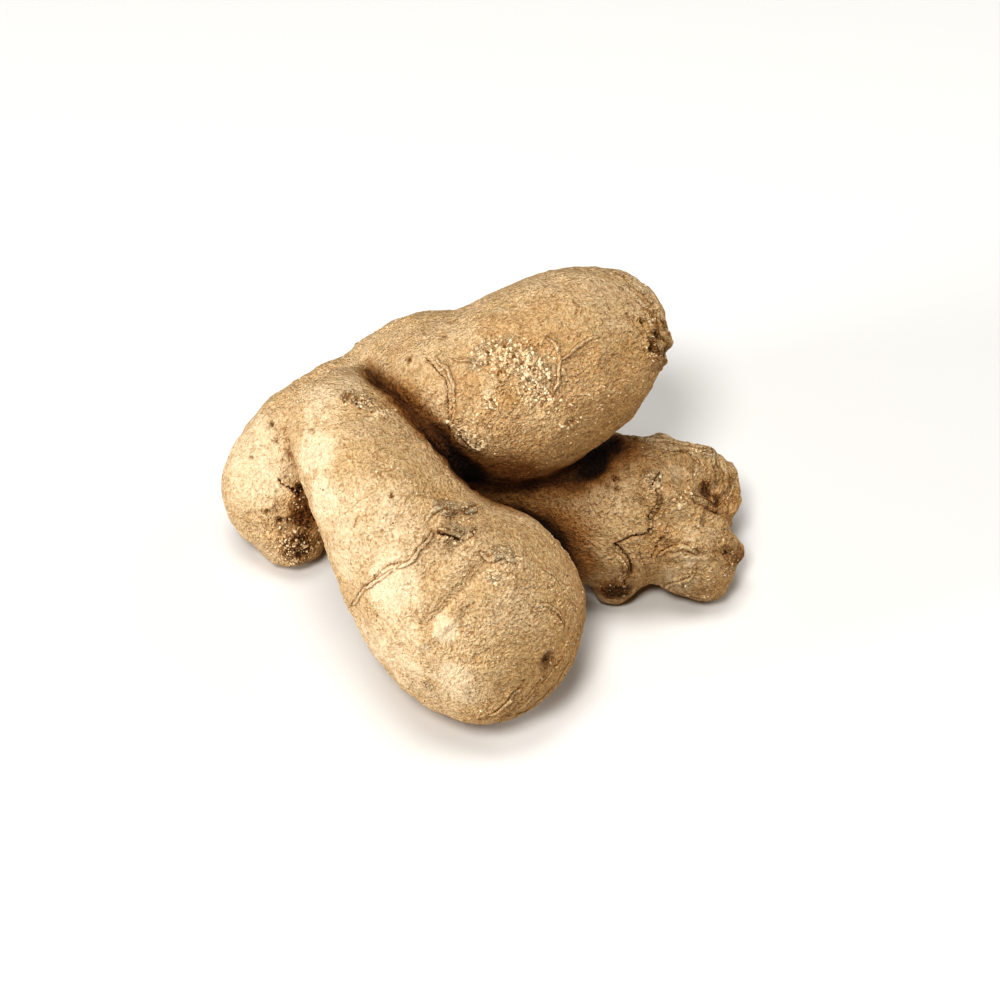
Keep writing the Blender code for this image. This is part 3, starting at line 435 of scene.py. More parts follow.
class Lobe:
    """A row of overlapping spheres with the direction and the length at each."""

    def __init__(self, stations, fillet):
        beads = curve_through(stations, BEAD_STEP)
        self.centres = beads[:, :3]
        self.radii = beads[:, 3]
        self.fillet = fillet
        steps = np.diff(self.centres, axis=0)
        self.along = np.concatenate([[0], np.cumsum(np.linalg.norm(steps, axis=1))])
        tangents = np.gradient(self.centres, axis=0)
        self.tangents = tangents / np.linalg.norm(tangents, axis=1)[:, None]


def union_field(points, lobes):
    """Distance to the lobes' smooth union, its slope, and the length along the nearest lobe."""
    total = None
    for lobe in lobes:
        distance, index = nearest(points, lobe.centres, lobe.radii)
        offset = points - lobe.centres[index]
        slope = offset / np.linalg.norm(offset, axis=1)[:, None]
        along = lobe.along[index] + (offset * lobe.tangents[index]).sum(axis=1)
        if total is None:
            total, total_slope, total_along = distance, slope, along
            continue
        share = np.clip(0.5 + 0.5 * (total - distance) / lobe.fillet, 0, 1)
        total = total * (1 - share) + distance * share - lobe.fillet * share * (1 - share)
        total_slope = total_slope * (1 - share)[:, None] + slope * share[:, None]
        total_along = np.where(share > 0.5, along, total_along)
    return total, total_slope, total_along


def settle(points, lobes, rounds=SETTLE_ROUNDS):
    """Moves points onto the smooth union. Gives its slope and the length along the lobe there."""
    points = np.array(points, float)
    for _ in range(rounds):
        distance, slope, _ = union_field(points, lobes)
        steepness = np.maximum((slope * slope).sum(axis=1), LEAST_STEEPNESS)
        points = points - slope * (distance / steepness)[:, None]
    _, slope, along = union_field(points, lobes)
    return points, slope, along


def smooth_step(low, high, values):
    t = np.clip((values - low) / (high - low), 0, 1)
    return t * t * (3 - 2 * t)


def noise(points, wavelength, seed):
    """Smooth noise between -1 and 1."""
    table = np.random.default_rng(seed).uniform(-1, 1, (NOISE_PERIOD,) * 3)
    scaled = points / wavelength
    cell = np.floor(scaled).astype(int)
    t = scaled - cell
    t = t * t * (3 - 2 * t)
    total = np.zeros(len(points))
    for corner in np.ndindex(2, 2, 2):
        x, y, z = ((cell + corner) % NOISE_PERIOD).T
        weight = np.where(corner, t, 1 - t).prod(axis=1)
        total += weight * table[x, y, z]
    return total


def grains(points, size, seed):
    """Rounded grains packed side by side: 1 on top of a grain, 0 between grains."""
    table = np.random.default_rng(seed).uniform(0, 1, (NOISE_PERIOD,) * 3 + (3,))
    scaled = points / size
    cell = np.floor(scaled).astype(int)
    closest = np.ones(len(points))
    for step in np.ndindex(3, 3, 3):
        here = cell + np.array(step) - 1
        x, y, z = (here % NOISE_PERIOD).T
        gap = np.linalg.norm(here + table[x, y, z] - scaled, axis=1)
        closest = np.minimum(closest, gap)
    return 1 - closest**2


def drift(points, wavelength, seed):
    """Smooth noise along each of the three axes."""
    return np.stack([noise(points, wavelength, seed + axis) for axis in range(3)], axis=1)


def hump(gap, width):
    """1 in the middle, fading to nearly nothing at twice the width."""
    return np.exp(-((gap / width) ** 2))


def crack_profile(gap, half_width, depth):
    """A sunk line with slightly raised lips."""
    lips = hump(gap - LIP_PLACE * half_width, half_width)
    return depth * (LIP_SHARE * lips - hump(gap, half_width))


def pit_profile(gap, radius, depth):
    """A round hole with a raised rim."""
    hole = np.exp(-((gap / radius) ** 4))
    rim = hump(gap - RIM_PLACE * radius, 0.5 * radius)
    return depth * (RIM_SHARE * rim - hole)


def near_part(points, places, reach):
    """Which points lie within reach of the box round a few places."""
    low, high = places.min(axis=0) - reach, places.max(axis=0) + reach
    return np.flatnonzero(((points > low) & (points < high)).all(axis=1))


class Skin:
    """Points on the smooth union, with the relief and the marks that belong there."""

    def __init__(self, points, lobes, rounds=SETTLE_ROUNDS):
        self.lobes = lobes
        self.points, slope, self.along = settle(points, lobes, rounds)
        self.steepness = np.linalg.norm(slope, axis=1)
        self.normals = slope / self.steepness[:, None]
        count = len(self.points)
        self.height, self.line_depth, self.pit_depth, self.scab, self.broken = np.zeros((5, count))
        self.line_side, self.line_gap, self.pit_gap = np.full((3, count), FAR)
        self.swells()
        self.lines()
        self.spots()
        self.broken_end()
        self.soil_side()
        self.fine_relief()
        # how far each point faces away from the light, for the painted shade on that side
        self.shaded = smooth_step(*SHADED_FADE, self.normals @ SHADED_SIDE)
        above_rest = smooth_step(0, REST_FADE, self.points[:, 2])
        open_skin = smooth_step(*CREASE_FADE, self.steepness)
        self.height *= above_rest * open_skin

    def raised(self):
        return self.points + self.normals * self.height[:, None]

    def swells(self):
        for seed, (wavelength, rise) in enumerate(SWELLS):
            self.height += rise * noise(self.points, wavelength, seed)

    def gap_to_line(self, through, wandering):
        """Which points lie near a line, how far from it, and on which side of it."""
        path, _, _ = settle(curve_through(through, LINE_STEP), self.lobes)
        here = near_part(self.points, path, LINE_REACH)
        places = self.points[here]
        if wandering:
            places = places + WANDER * drift(places, WANDER_WAVELENGTH, 11)
        gap, index = nearest(places, path)
        across = np.cross(self.normals[here], np.gradient(path, axis=0)[index])
        side = np.sign(((places - path[index]) * across).sum(axis=1))
        return here, gap, side

    def lines(self):
        for half_width, depth, *through in CRACKS:
            here, gap, side = self.gap_to_line(through, True)
            self.height[here] += crack_profile(gap, CRACK_NARROWING * half_width, depth)
            closer = gap < self.line_gap[here]
            chosen = here[closer]
            self.line_gap[chosen] = gap[closer]
            self.line_side[chosen] = (gap * side)[closer]
            self.line_depth[chosen] = depth
        for half_width, rise, *through in FURROWS + RIDGES:
            here, gap, _ = self.gap_to_line(through, rise > 0)
            self.height[here] += rise * hump(gap, half_width)

    def around(self, place, reach):
        """Which points lie near a place on the skin, and how far from it."""
        middle, _, _ = settle([place], self.lobes)
        here = near_part(self.points, middle, reach)
        return here, nearest(self.points[here], middle)[0]

    def sink_pit(self, place, radius, depth):
        here, gap = self.around(place, 4 * radius)
        self.height[here] += pit_profile(gap, radius, depth)
        closer = gap / radius < self.pit_gap[here]
        chosen = here[closer]
        self.pit_gap[chosen] = (gap / radius)[closer]
        self.pit_depth[chosen] = depth

    def spots(self):
        for x, y, z, radius, depth in PITS:
            self.sink_pit((x, y, z), radius, depth)
        for x, y, z, radius, rise in SWELLINGS:
            here, gap = self.around((x, y, z), 4 * radius)
            self.height[here] += rise * hump(gap, radius)
        for number, (x, y, z, radius, size, rise) in enumerate(SCABS):
            here, gap = self.around((x, y, z), 2 * radius)
            gap = gap + 0.35 * radius * noise(self.points[here], 3, 40 + number)
            inside = 1 - smooth_step(0.5 * radius, radius, gap)
            self.height[here] += inside * rise * (grains(self.points[here], size, 70) - 0.35)
            self.scab[here] = np.maximum(self.scab[here], inside)

    def broken_end(self):
        here, gap = self.around(BREAK_MIDDLE, 2 * BREAK_RADIUS)
        places = self.points[here]
        gap = gap + 1.2 * noise(places, 6, 31)
        inside = 1 - smooth_step(0.8 * BREAK_RADIUS, BREAK_RADIUS, gap)
        rim = hump(gap - 1.05 * BREAK_RADIUS, 1.4)
        rough = 0.5 * noise(places, BREAK_GRAIN, 32) + 0.5 * grains(places, BREAK_GRAIN, 33) - 0.25
        self.height[here] += inside * (0.7 * rough - BREAK_DEPTH) + rim * BREAK_RIM
        self.broken[here] = inside

    def soil_side(self):
        """Ring scars, root pits and root stubs on the side that lay in the soil."""
        facing = smooth_step(-0.15, 0.35, self.normals @ SOIL_SIDE)
        wave = self.along + 1.3 * noise(self.points, 11, 21)
        gap = np.abs((wave / RING_SPACING + 0.5) % 1 - 0.5) * RING_SPACING
        strength = facing * smooth_step(-0.5, 0.3, noise(self.points, 9, 22))
        self.height += strength * crack_profile(gap, RING_HALF_WIDTH, RING_DEPTH)
        self.ring = strength * hump(gap, RING_HALF_WIDTH)
        draw = np.random.default_rng(5)
        places, outward, _ = settle(draw.uniform(*DRAW_BOX, (SOIL_DRAWS, 3)), self.lobes)
        kept = (outward @ SOIL_SIDE > 0.3) & (places[:, 2] > REST_FADE)
        places = places[kept]
        for place in places[:SOIL_PITS]:
            self.sink_pit(place, draw.uniform(0.7, 1.1), SOIL_PIT_DEPTH)
        for place in places[SOIL_PITS : SOIL_PITS + SOIL_STUBS]:
            here, gap = self.around(place, 8)
            self.height[here] += draw.uniform(0.6, 1.2) * hump(gap, draw.uniform(1.1, 1.7))

    def blobs(self, table):
        """How strongly each point lies in any of a few soft round patches with ragged edges."""
        share = np.zeros(len(self.points))
        for x, y, z, radius, strength in table:
            here, gap = self.around((x, y, z), 2 * radius)
            places = self.points[here]
            gap = gap + 0.25 * radius * noise(places, 0.6 * radius, 51)
            inside = 1 - smooth_step(0.3 * radius, 1.3 * radius, gap)
            share[here] = np.maximum(share[here], strength * inside)
        return share

    def shut_in(self):
        """How far the other fingers hem each point in: 0 in the open, 1 deep in a gap."""
        total = np.zeros(len(self.points))
        for reach, weight in GAP_REACHES:
            ahead, _, _ = union_field(self.points + self.normals * reach, self.lobes)
            total += weight * np.clip(1 - ahead / reach, 0, 1)
        return total

    def growth_lines(self, pole, reach, spacing, rise):
        """Fine parallel lines round a pole, as where a finger's end has grown."""
        here, gap = self.around(pole, reach)
        bent = gap + 0.5 * noise(self.points[here], 5, 61)
        wave = np.cos(2 * np.pi * bent / spacing)
        fade = smooth_step(0.1 * reach, 0.4 * reach, gap) * (1 - smooth_step(0.6 * reach, reach, gap))
        patchy = smooth_step(-0.4, 0.4, noise(self.points[here], 6, 62))
        self.height[here] += rise * wave * fade * patchy

    def fine_relief(self):
        """Fine unevenness that the solid is too coarse for."""
        self.rough = 1 + self.blobs(ROUGH)
        wander = drift(self.points, 4, 90)
        for seed, (wavelength, rise) in enumerate(WRINKLES):
            self.height += self.rough * rise * noise(self.points + 1.2 * wander, wavelength, 80 + seed)
        crest = 1 - 2.2 * np.abs(noise(self.points + 1.6 * wander, CREST_WAVELENGTH, 85))
        self.height += CREST_HEIGHT * self.rough**2 * np.maximum(crest, 0)
        for pole, reach, spacing, rise in GROWTH_LINES:
            self.growth_lines(pole, reach, spacing, rise)


def place_object(name, data):
    made = bpy.data.objects.new(name, data)
    bpy.context.collection.objects.link(made)
    return made


def rough_body(lobes):
    """Spheres along every lobe, fused into one closed mesh."""
    build = bmesh.new()
    for lobe in lobes:
        count = max(2, int(lobe.along[-1] / SPHERE_SPACING))
        for index in np.linspace(0, len(lobe.radii) - 1, count).astype(int):
            place = Matrix.Translation(lobe.centres[index] * MM)
            radius = lobe.radii[index] * MM
            bmesh.ops.create_icosphere(build, subdivisions=3, radius=radius, matrix=place)
    mesh = bpy.data.meshes.new("rhizome_skin")
    build.to_mesh(mesh)
    build.free()
    body = place_object("rhizome_skin", mesh)
    fuse = body.modifiers.new("Fuse", "REMESH")
    fuse.mode = "VOXEL"
    fuse.voxel_size = VOXEL * MM
    apply_modifiers(body)
    return body


def apply_modifiers(body):
    """Replaces the object's mesh with the mesh that its modifiers make of it."""
    bpy.context.view_layer.update()
    graph = bpy.context.evaluated_depsgraph_get()
    made = bpy.data.meshes.new_from_object(body.evaluated_get(graph))
    body.modifiers.clear()
    old = body.data
    body.data = made
    bpy.data.meshes.remove(old)
    made.name = body.name


def read_points(mesh):
    flat = np.empty(len(mesh.vertices) * 3)
    mesh.vertices.foreach_get("co", flat)
    return flat.reshape(-1, 3) / MM


def write_points(mesh, points):
    mesh.vertices.foreach_set("co", (points * MM).ravel())
    mesh.update()


def thin_out(body):
    """Brings the mesh down to its triangle budget, with most triangles where it bends."""
    body.data.calc_loop_triangles()
    thin = body.modifiers.new("Thin", "DECIMATE")
    thin.ratio = min(1, TRIANGLES / len(body.data.loop_triangles))
    thin.use_collapse_triangulate = True
    apply_modifiers(body)


def store(mesh, name, values):
    layer = mesh.attributes.new(name, "FLOAT", "POINT")
    layer.data.foreach_set("value", np.ascontiguousarray(values, dtype=np.float32))


def make_skin(lobes, fold_skin, fold_width):
    """The whole root in one mesh, with the marks that its material uses."""
    body = rough_body(lobes)
    write_points(body.data, Skin(read_points(body.data), lobes).raised())
    thin_out(body)
    points = read_points(body.data)
    points[points[:, 2] < FLOOR_SNAP, 2] = 0
    write_points(body.data, points)
    skin = Skin(points, lobes, 2)
    store_marks(body.data, skin)
    # how near each point lies to a fold, for the painted shade at the folds' feet
    foot = nearest(skin.points, fold_skin.points, fold_width)[0]
    store(body.data, "fold_foot", 1 - smooth_step(0, FOLD_FOOT, foot))
    body.data.shade_smooth()
    return body


def store_marks(mesh, skin, copies=1):
    """Keeps the marks of every point of the skin on the mesh for its material to use."""
    marks = {
        "line_side": np.clip(skin.line_side, -3, 3),
        "line_near": np.clip(1 - skin.line_gap / 1.5, 0, 1),
        "line_depth": skin.line_depth,
        "pit_gap": np.clip(skin.pit_gap, 0, 3),
        "pit_depth": skin.pit_depth,
        "scab": skin.scab,
        "broken": skin.broken,
        "ring": skin.ring,
        "rough": skin.rough,
        "shaded": skin.shaded,
        # where the fingers meet in a crease, for painted shade there
        "crease": 1 - smooth_step(0.5, 0.98, skin.steepness),
        "pale": skin.blobs(PALE_AND_HIGHLIGHT),
        "rust": skin.blobs(RUST),
        "soil": skin.blobs(SOIL_AND_SHADE),
        # how hemmed in each point is, plus the painted shade patches, for the painted shade in the gaps
        "shut_in": skin.shut_in() + skin.blobs(PAINTED_GAP_SHADE),
    }
    for name, values in marks.items():
        store(mesh, name, np.repeat(values, copies))


def lay_folds(lobes):
    """Where the narrow folds of bark run on the skin, and their half width and direction there."""
    paths = [curve_through(through, FOLD_STEP) for _, *through in FOLDS]
    lengths = [len(path) for path in paths]
    sharpness = np.concatenate([np.sin(np.linspace(0, np.pi, length)) ** 0.5 for length in lengths])
    width = (0.15 + 0.85 * sharpness) * np.repeat([fold[0] for fold in FOLDS], lengths)
    middle = np.vstack(paths)
    skin = Skin(middle + WANDER * drift(middle, FOLD_WANDER_WAVELENGTH, 14), lobes, 6)
    width = width * (1 + 0.5 * noise(middle, 0.8, 24))
    ends = np.cumsum(lengths)
    parts = [skin.points[end - length : end] for end, length in zip(ends, lengths)]
    along = np.vstack([np.gradient(part, axis=0) for part in parts])
    along /= np.linalg.norm(along, axis=1)[:, None]
    return skin, width, np.cross(skin.normals, along), lengths


def make_folds(skin, width, across, lengths):
    """The folds as thin lumpy ropes, half sunk in the skin."""
    ends = np.cumsum(lengths)
    centres = skin.raised()
    angles = np.linspace(0, 2 * np.pi, FOLD_SIDES, endpoint=False)[None, :, None]
    uneven = np.random.default_rng(23).uniform(0.85, 1.15, (len(width), FOLD_SIDES, 1))
    spokes = 1.2 * np.cos(angles) * across[:, None] + np.sin(angles) * skin.normals[:, None]
    corners = centres[:, None] + uneven * spokes * width[:, None, None]
    faces = []
    for end, length in zip(ends, lengths):
        for ring in range(end - length, end - 1):
            for side in range(FOLD_SIDES):
                a, b = (ring * FOLD_SIDES + place for place in (side, (side + 1) % FOLD_SIDES))
                faces.append((a, a + FOLD_SIDES, b + FOLD_SIDES, b))
        first, last = (end - length) * FOLD_SIDES, (end - 1) * FOLD_SIDES
        faces.append(tuple(range(first, first + FOLD_SIDES)))
        faces.append(tuple(range(last, last + FOLD_SIDES))[::-1])
    mesh = bpy.data.meshes.new("bark_folds")
    mesh.from_pydata((corners.reshape(-1, 3) * MM).tolist(), [], faces)
    store_marks(mesh, skin, FOLD_SIDES)
    store(mesh, "fold", np.ones(len(mesh.vertices)))
    mesh.shade_smooth()
    return place_object("bark_folds", mesh)


def stone():
    """The corners and faces of an icosahedron of radius 1."""
    build = bmesh.new()
    bmesh.ops.create_icosphere(build, subdivisions=1, radius=1)
    corners = np.array([vertex.co for vertex in build.verts])
    faces = np.array([[vertex.index for vertex in face.verts] for face in build.faces])
    build.free()
    return corners, faces


def make_crumbs(lobes):
    """Tiny angular grains of bark, heaped in the crumbling patches and strewn elsewhere."""
    draw = np.random.default_rng(17)
    places, sizes, tones = [], [], []
    for x, y, z, radius, count, size, tone in CRUMBS:
        places.append(draw.normal((x, y, z), CRUMB_SPREAD * radius, (count, 3)))
        sizes.append(size * draw.uniform(*CRUMB_SIZES, count))
        tones.append(np.clip(draw.normal(tone, 0.28, count), 0, 1))
    places.append(draw.uniform(*DRAW_BOX, (STRAY_CRUMBS, 3)))
    sizes.append(draw.uniform(*STRAY_SIZES, STRAY_CRUMBS))
    tones.append(np.clip(draw.normal(0.55, 0.25, STRAY_CRUMBS), 0, 1))
    on_skin = Skin(np.vstack(places), lobes, 6)
    sizes, tones = np.concatenate(sizes), np.concatenate(tones)
    kept = (on_skin.points[:, 2] > 2) & (on_skin.steepness > 0.5) & (on_skin.shut_in() < 0.3)
    centres, normals = on_skin.raised()[kept], on_skin.normals[kept]
    sizes, tones = sizes[kept], tones[kept]
    centres = centres - normals * (CRUMB_SINK * sizes)[:, None]
    corners, faces = stone()
    count = len(centres)
    turn = np.linalg.qr(draw.normal(size=(count, 3, 3)))[0]
    turn[:, 0] *= np.sign(np.linalg.det(turn))[:, None]
    stretch = draw.uniform(0.55, 1.25, (count, 1, 3))
    rugged = corners[None] * draw.uniform(0.75, 1.2, (count, len(corners), 1))
    shaped = (rugged * stretch) @ turn * sizes[:, None, None] + centres[:, None]
    mesh = bpy.data.meshes.new("bark_crumbs")
    all_faces = faces[None] + len(corners) * np.arange(count)[:, None, None]
    mesh.from_pydata((shaped.reshape(-1, 3) * MM).tolist(), [], all_faces.reshape(-1, 3).tolist())
    store(mesh, "tone", np.repeat(tones, len(corners)))
    return place_object("bark_crumbs", mesh)


class Nodes:
    """Short ways to add and join a material's nodes."""

    def __init__(self, name):
        self.material = bpy.data.materials.new(name)
        self.material.use_nodes = True
        self.tree = self.material.node_tree
        self.shader = self.tree.nodes["Principled BSDF"]
        spot = self.node("TexCoord", {}).outputs["Object"]
        self.spot = self.node("VectorMath", {0: spot, "Scale": 1 / MM}, operation="SCALE").outputs[0]

    def put(self, socket, value):
        if isinstance(value, bpy.types.NodeSocket):
            self.tree.links.new(value, socket)
        else:
            socket.default_value = value

    def node(self, kind, inputs, **settings):
        made = self.tree.nodes.new("ShaderNode" + kind)
        for key, value in settings.items():
            setattr(made, key, value)
        for key, value in inputs.items():
            self.put(made.inputs[key], value)
        return made

    def noise(self, spot, wavelength, detail=2.0, roughness=0.5, distortion=0.0):
        inputs = {"Vector": spot, "Scale": 1 / wavelength, "Detail": detail, "Roughness": roughness}
        return self.node("TexNoise", inputs | {"Distortion": distortion}).outputs["Fac"]

    def shifted(self, spot, wavelength, amount):
        """The spot moved about by slow noise."""
        inputs = {"Vector": spot, "Scale": 1 / wavelength, "Detail": 1.0}
        swirl = self.node("TexNoise", inputs).outputs["Color"]
        centred = self.node("VectorMath", {0: swirl, 1: (0.5,) * 3}, operation="SUBTRACT").outputs[0]
        inputs = {0: centred, 1: (2 * amount,) * 3, 2: spot}
        return self.node("VectorMath", inputs, operation="MULTIPLY_ADD").outputs[0]

    def cells(self, spot, size, feature="F1", output="Distance"):
        inputs = {"Vector": spot, "Scale": 1 / size}
        return self.node("TexVoronoi", inputs, feature=feature).outputs[output]

    def maths(self, operation, *values):
        return self.node("Math", dict(enumerate(values)), operation=operation).outputs[0]

    def times(self, *values):
        return reduce(lambda total, value: self.maths("MULTIPLY", total, value), values)

    def plus(self, *values):
        return reduce(lambda total, value: self.maths("ADD", total, value), values)

    def weighed(self, *parts):
        """The sum of several products."""
        return self.plus(*[self.times(*part) for part in parts])

    def swing(self, value, amount):
        """Noise between 0 and 1 turned into a shift of about plus or minus amount."""
        return self.maths("MULTIPLY_ADD", value, 2 * amount, -amount)

    def step(self, value, low, high, bottom=0.0, top=1.0):
        inputs = {"Value": value, "From Min": low, "From Max": high, "To Min": bottom, "To Max": top}
        return self.node("MapRange", inputs, interpolation_type="SMOOTHSTEP").outputs[0]

    def mix(self, share, under, over, blend="MIX"):
        inputs = {0: share, 6: under, 7: over}
        return self.node("Mix", inputs, data_type="RGBA", blend_type=blend).outputs[2]

    def red(self, shade):
        return self.node("SeparateColor", {0: shade}).outputs[0]

    def mark(self, name):
        return self.node("Attribute", {}, attribute_name=name).outputs["Fac"]

    def ragged(self, mark, *swings):
        """A mark with noise added, so that its edge is uneven."""
        return self.plus(self.mark(mark), *[self.swing(*swing) for swing in swings])

    def coat(self, shade, *shares):
        """Lays a colour over the skin, as much as the shares multiplied together."""
        self.skin = self.mix(self.times(*shares), self.skin, shade)

    def tint(self, shade, share):
        """Multiplies the skin's colour by another."""
        self.skin = self.mix(share, self.skin, shade, "MULTIPLY")

    def finish(self, roughness, shine, height):
        """Joins the skin's colour and its relief, in millimetres, to the shader."""
        self.put(self.shader.inputs["Base Color"], self.skin)
        self.put(self.shader.inputs["Roughness"], roughness)
        self.shader.inputs["Specular IOR Level"].default_value = shine
        bump = self.node("Bump", {"Height": height, "Distance": MM, "Strength": 1.0})
        self.put(self.shader.inputs["Normal"], bump.outputs[0])
        return self.material


def skin_material():
    n = Nodes("ginger_bark")
    bent = n.shifted(n.spot, 1.7, 0.5)
    coarse = n.noise(bent, COARSE, 1, 0.5, 0.3)
    medium = n.noise(n.spot, MEDIUM, 1, 0.5, 0.3)
    fine = n.noise(n.spot, FINE, 1, 0.6)
    pebble = n.cells(n.shifted(n.spot, 1.1, 0.4), PEBBLES)
    tone = n.noise(n.shifted(n.spot, 14, 5), TONES, 3, 0.55)
    blotch = n.noise(n.shifted(n.spot, 5, 2), BLOTCHES, 3, 0.6)
    rough = n.times(n.mark("rough"), n.step(n.noise(n.spot, 4.5, 2), 0.38, 0.62, 0.55, 1.2))
    # slow changes of tone
    n.skin = n.mix(n.step(tone, 0.34, 0.68), BARK_DEEP, BARK_LIGHT)
    n.coat(BARK_RUST, n.step(blotch, 0.52, 0.78, 0, 0.35))
    n.coat(BARK_PALE, n.step(blotch, 0.42, 0.22, 0, 0.35))
    # pale patches: the skin's own pale bark, and painted highlights where the light falls
    pale = n.step(n.ragged("pale", (blotch, 0.5), (coarse, 0.2)), 0.2, 1.0)
    n.coat(BARK_PALE, pale, 0.7)
    n.coat(BARK_RUST, n.step(n.ragged("rust", (blotch, 0.4), (coarse, 0.2)), 0.3, 0.9), 0.55)
    # short fine splits, curved and broken off
    squiggle = n.maths("ABSOLUTE", n.swing(n.noise(bent, 1.1, 0, 0.5, 0.5), 1.0))
    here = n.step(n.noise(n.spot, 1.9, 1), 0.45, 0.62)
    split = n.times(n.step(squiggle, 0.1, 0.02), here, n.step(rough, 1.0, 1.8, 0.6, 1.0))
    n.coat(BARK_SHADE, split, 0.5)
    # painted shade in the wrinkle floors and between the pebbles, and painted highlight on the wrinkle
    # tops, less so on pale skin
    calm = n.step(pale, 0.0, 1.0, 1.0, 0.5)
    n.coat(BARK_SHADE, n.step(coarse, 0.46, 0.26), calm, 0.5)
    n.coat(BARK_SHADE, n.step(medium, 0.44, 0.26), calm, 0.4)
    n.coat(BARK_SHADE, n.step(pebble, 0.4, 0.75), calm, 0.4)
    n.coat(BARK_CREAM, n.step(medium, 0.54, 0.74, 0, 0.45))
    # scattered reddish and dark specks
    n.coat(BARK_RED, n.step(n.noise(bent, 0.8, 0, 0.5), 0.72, 0.78, 0, 0.35))
    fleck = n.noise(n.shifted(n.spot, 1.2, 0.4), 0.5, 0, 0.5)
    n.coat(BARK_DARK, n.step(fleck, 0.76, 0.82), n.step(rough, 1.0, 1.8, 0.2, 0.8))
    # crumbling patches: grains of every tone with painted shade in the gaps between them here and there
    loose = n.shifted(n.spot, 0.9, 0.35)
    crumb_edge = n.cells(loose, CRUMBLING, "DISTANCE_TO_EDGE")
    crumb_tone = n.red(n.cells(loose, CRUMBLING, output="Color"))
    gap = n.times(n.step(crumb_edge, 0.1, 0.02), n.step(n.noise(n.spot, 1.6, 1), 0.4, 0.6))
    crumb = n.mix(n.times(gap, 0.85), n.mix(crumb_tone, BARK_RUST, BARK_CREAM), BARK_DARK)
    scab = n.step(n.ragged("scab", (blotch, 0.8), (fine, 0.3)), 0.45, 0.9)
    n.coat(crumb, scab, 0.6)
    n.coat(crumb, n.mark("broken"), 0.8)
    # cracks: a thin dark core of painted shade, darker the deeper the crack, in a browner edge, broken
    # here and there
    side = n.plus(n.maths("ABSOLUTE", n.ragged("line_side", (coarse, 0.3))), n.swing(fine, 0.2))
    near = n.step(n.mark("line_near"), 0.15, 0.6)
    depth = n.mark("line_depth")
    broken = n.step(n.plus(blotch, n.times(depth, 0.3)), 0.46, 0.64)
    across = n.maths("DIVIDE", side, n.plus(n.times(depth, 0.17), 0.05))
    core = n.times(n.step(across, 1.3, 0.5), near, broken, n.step(depth, 0.25, 0.9, 0.3, 0.95))
    n.coat(BARK_RUST, n.step(across, 3.2, 1.0), near, 0.6)
    n.coat(n.mix(n.step(depth, 0.65, 0.95), BARK_BROWN, SOIL_AND_SHADE_BLACK), core)
    # painted highlight on the narrow folds, painted shade on the skin at their feet, and the ring scars
    n.coat(BARK_BROWN, n.step(n.ragged("fold_foot", (coarse, 0.4)), 0.2, 0.9), 0.6)
    n.coat(BARK_CREAM, n.mark("fold"), n.step(medium, 0.35, 0.65), 0.5)
    n.coat(BARK_BROWN, n.step(n.ragged("ring", (medium, 0.3)), 0.35, 0.95), 0.5)
    # painted shade: more ochre where the skin is turned from the light and where rough skin shades itself,
    # browner where the other fingers hem it in
    n.tint(PAINTED_SHADE_OCHRE, n.mark("shaded"))
    n.tint(SHADE_AND_SOIL_BROWN, n.step(n.mark("shut_in"), 0.06, 0.6))
    n.tint(PAINTED_SHADE_OCHRE, n.step(rough, 1.0, 2.2, 0, 0.5))
    # painted shade in the creases where the fingers meet
    crease = n.step(n.ragged("crease", (medium, 0.35), (blotch, 0.3)), 0.35, 0.85)
    n.coat(BARK_DARK, crease, 0.85)
    # soil and dark decay at the ends, and painted shade in the hollow between the right lobe's knobs and
    # beside the bud
    n.tint(SHADE_AND_SOIL_BROWN, n.step(n.ragged("soil", (blotch, 0.3)), 0.08, 0.6, 0, 0.6))
    soil = n.step(n.ragged("soil", (coarse, 0.5), (blotch, 0.4)), 0.4, 0.8)
    n.coat(n.mix(n.step(medium, 0.4, 0.75), SOIL_AND_SHADE_BLACK, BARK_BROWN), soil, 0.85)
    # pits: a brown ring round each, and painted shade inside, darker the deeper the pit
    pit = n.ragged("pit_gap", (coarse, 0.9), (medium, 0.4))
    pit_depth = n.mark("pit_depth")
    hole = n.times(n.step(pit, 0.6, 0.2), n.step(pit_depth, 0.3, 1.0, 0.35, 0.95))
    n.coat(BARK_BROWN, n.step(pit, 1.6, 0.6), 0.5, n.step(pit_depth, 0.2, 0.9, 0.3, 1))
    n.coat(n.mix(n.step(coarse, 0.4, 0.6), SOIL_AND_SHADE_BLACK, BARK_DARK), hole)
    # painted shade: darker and then black deep in the gaps between the fingers
    shut_in = n.ragged("shut_in", (blotch, 0.12), (medium, 0.05))
    n.coat(BARK_DARK, n.step(shut_in, 0.5, 0.85, 0, 0.8))
    n.coat(SOIL_AND_SHADE_BLACK, n.step(shut_in, 0.68, 0.95, 0, 0.95))
    # darker bark is more ochre too
    n.tint(WARMER, n.step(n.red(n.skin), 0.6, 0.15))
    # the same patterns as relief
    wrinkled = n.weighed((coarse, 0.8), (medium, 0.5), (split, -0.3), (pebble, -0.42))
    strength = n.times(n.step(rough, 0.6, 2.6, 0.95, 1.5), calm)
    crumbs = ((n.step(crumb_edge, 0.0, 0.25), scab, 0.3), (crumb_tone, scab, 0.2))
    height = n.weighed((wrinkled, strength), (fine, 0.2), *crumbs, (core, -0.3), (hole, -0.4))
    dull = n.step(n.plus(fine, n.times(pale, -0.15)), 0.2, 0.8, 0.6, 0.92)
    return n.finish(dull, BARK_SHINE, height)


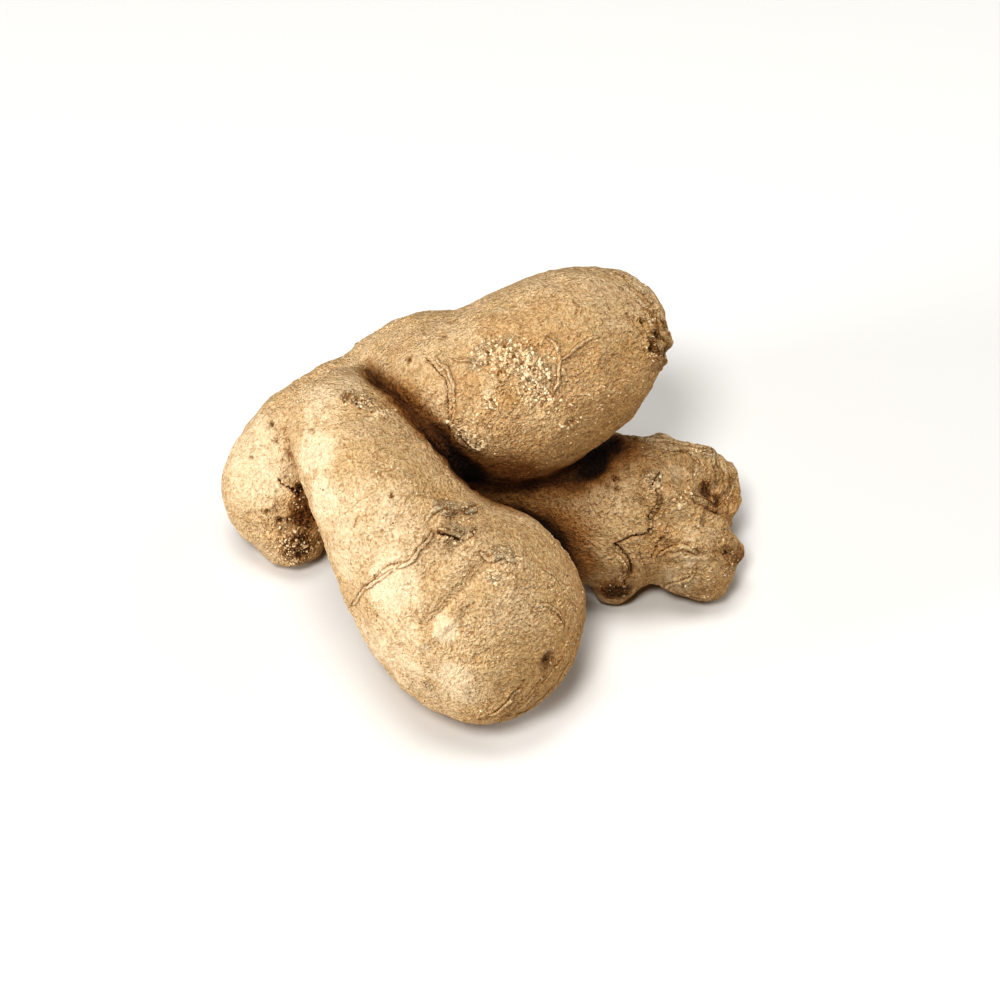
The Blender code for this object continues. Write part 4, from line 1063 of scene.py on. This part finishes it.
def crumb_material():
    n = Nodes("bark_grains")
    grain = n.noise(n.spot, 0.3, 3, 0.6)
    tone = n.ragged("tone", (grain, 0.25))
    n.skin = n.mix(n.step(tone, 0.05, 0.45), BARK_BROWN, BARK_LIGHT)
    n.coat(BARK_CREAM, n.step(tone, 0.45, 0.9))
    n.coat(BARK_RUST, n.step(n.noise(n.spot, 0.7, 1), 0.55, 0.8, 0, 0.5))
    return n.finish(n.step(grain, 0.2, 0.8, 0.65, 0.9), BARK_SHINE, n.times(grain, 0.12))


def floor_material():
    n = Nodes("studio_floor")
    n.shader.inputs["Base Color"].default_value = FLOOR_COLOUR
    n.shader.inputs["Roughness"].default_value = 0.9
    n.shader.inputs["Specular IOR Level"].default_value = 0.1
    return n.material


def softbox(name, direction, size, power, tint):
    lamp = bpy.data.lights.new(name, "AREA")
    lamp.shape = "DISK"
    lamp.size = size
    lamp.energy = power
    lamp.color = tint
    made = place_object(name, lamp)
    towards = Vector(direction).normalized()
    made.location = towards * LIGHT_DISTANCE
    made.rotation_euler = towards.to_track_quat("Z", "Y").to_euler()


def studio():
    """A pale floor and soft lights from the left, the front, above and the back right."""
    half = FLOOR_HALF_WIDTH
    corners = [(-half, -half, 0), (half, -half, 0), (half, half, 0), (-half, half, 0)]
    mesh = bpy.data.meshes.new("studio_floor")
    mesh.from_pydata(corners, [], [(0, 1, 2, 3)])
    mesh.materials.append(floor_material())
    place_object("studio_floor", mesh)
    for light in LIGHTS:
        softbox(*light)
    world = bpy.data.worlds.new("dark_surround")
    world.use_nodes = True
    world.node_tree.nodes["Background"].inputs["Strength"].default_value = 0
    bpy.context.scene.world = world
    bpy.context.scene.view_settings.view_transform = "Standard"
    bpy.context.scene.view_settings.look = "High Contrast"


def camera():
    towards = Vector((0, -math.cos(CAMERA_TILT), math.sin(CAMERA_TILT)))
    lens = bpy.data.cameras.new("camera")
    lens.lens = LENS
    lens.sensor_width = SENSOR
    eye = place_object("camera", lens)
    eye.location = (Vector(CAMERA_AIM) + towards * CAMERA_DISTANCE) * MM
    eye.rotation_euler = towards.to_track_quat("Z", "Y").to_euler()
    bpy.context.scene.camera = eye


def add_piece(piece, material):
    piece.data.materials.append(material)
    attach(piece, "root")


studio()
camera()
lobes = [Lobe(stations, FILLETS[name]) for name, stations in LOBES.items()]
folds = lay_folds(lobes)
body = make_skin(lobes, *folds[:2])
bark = skin_material()
add_piece(body, bark)
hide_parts("rhizome")
add_piece(make_folds(*folds), bark)
add_piece(make_crumbs(lobes), crumb_material())
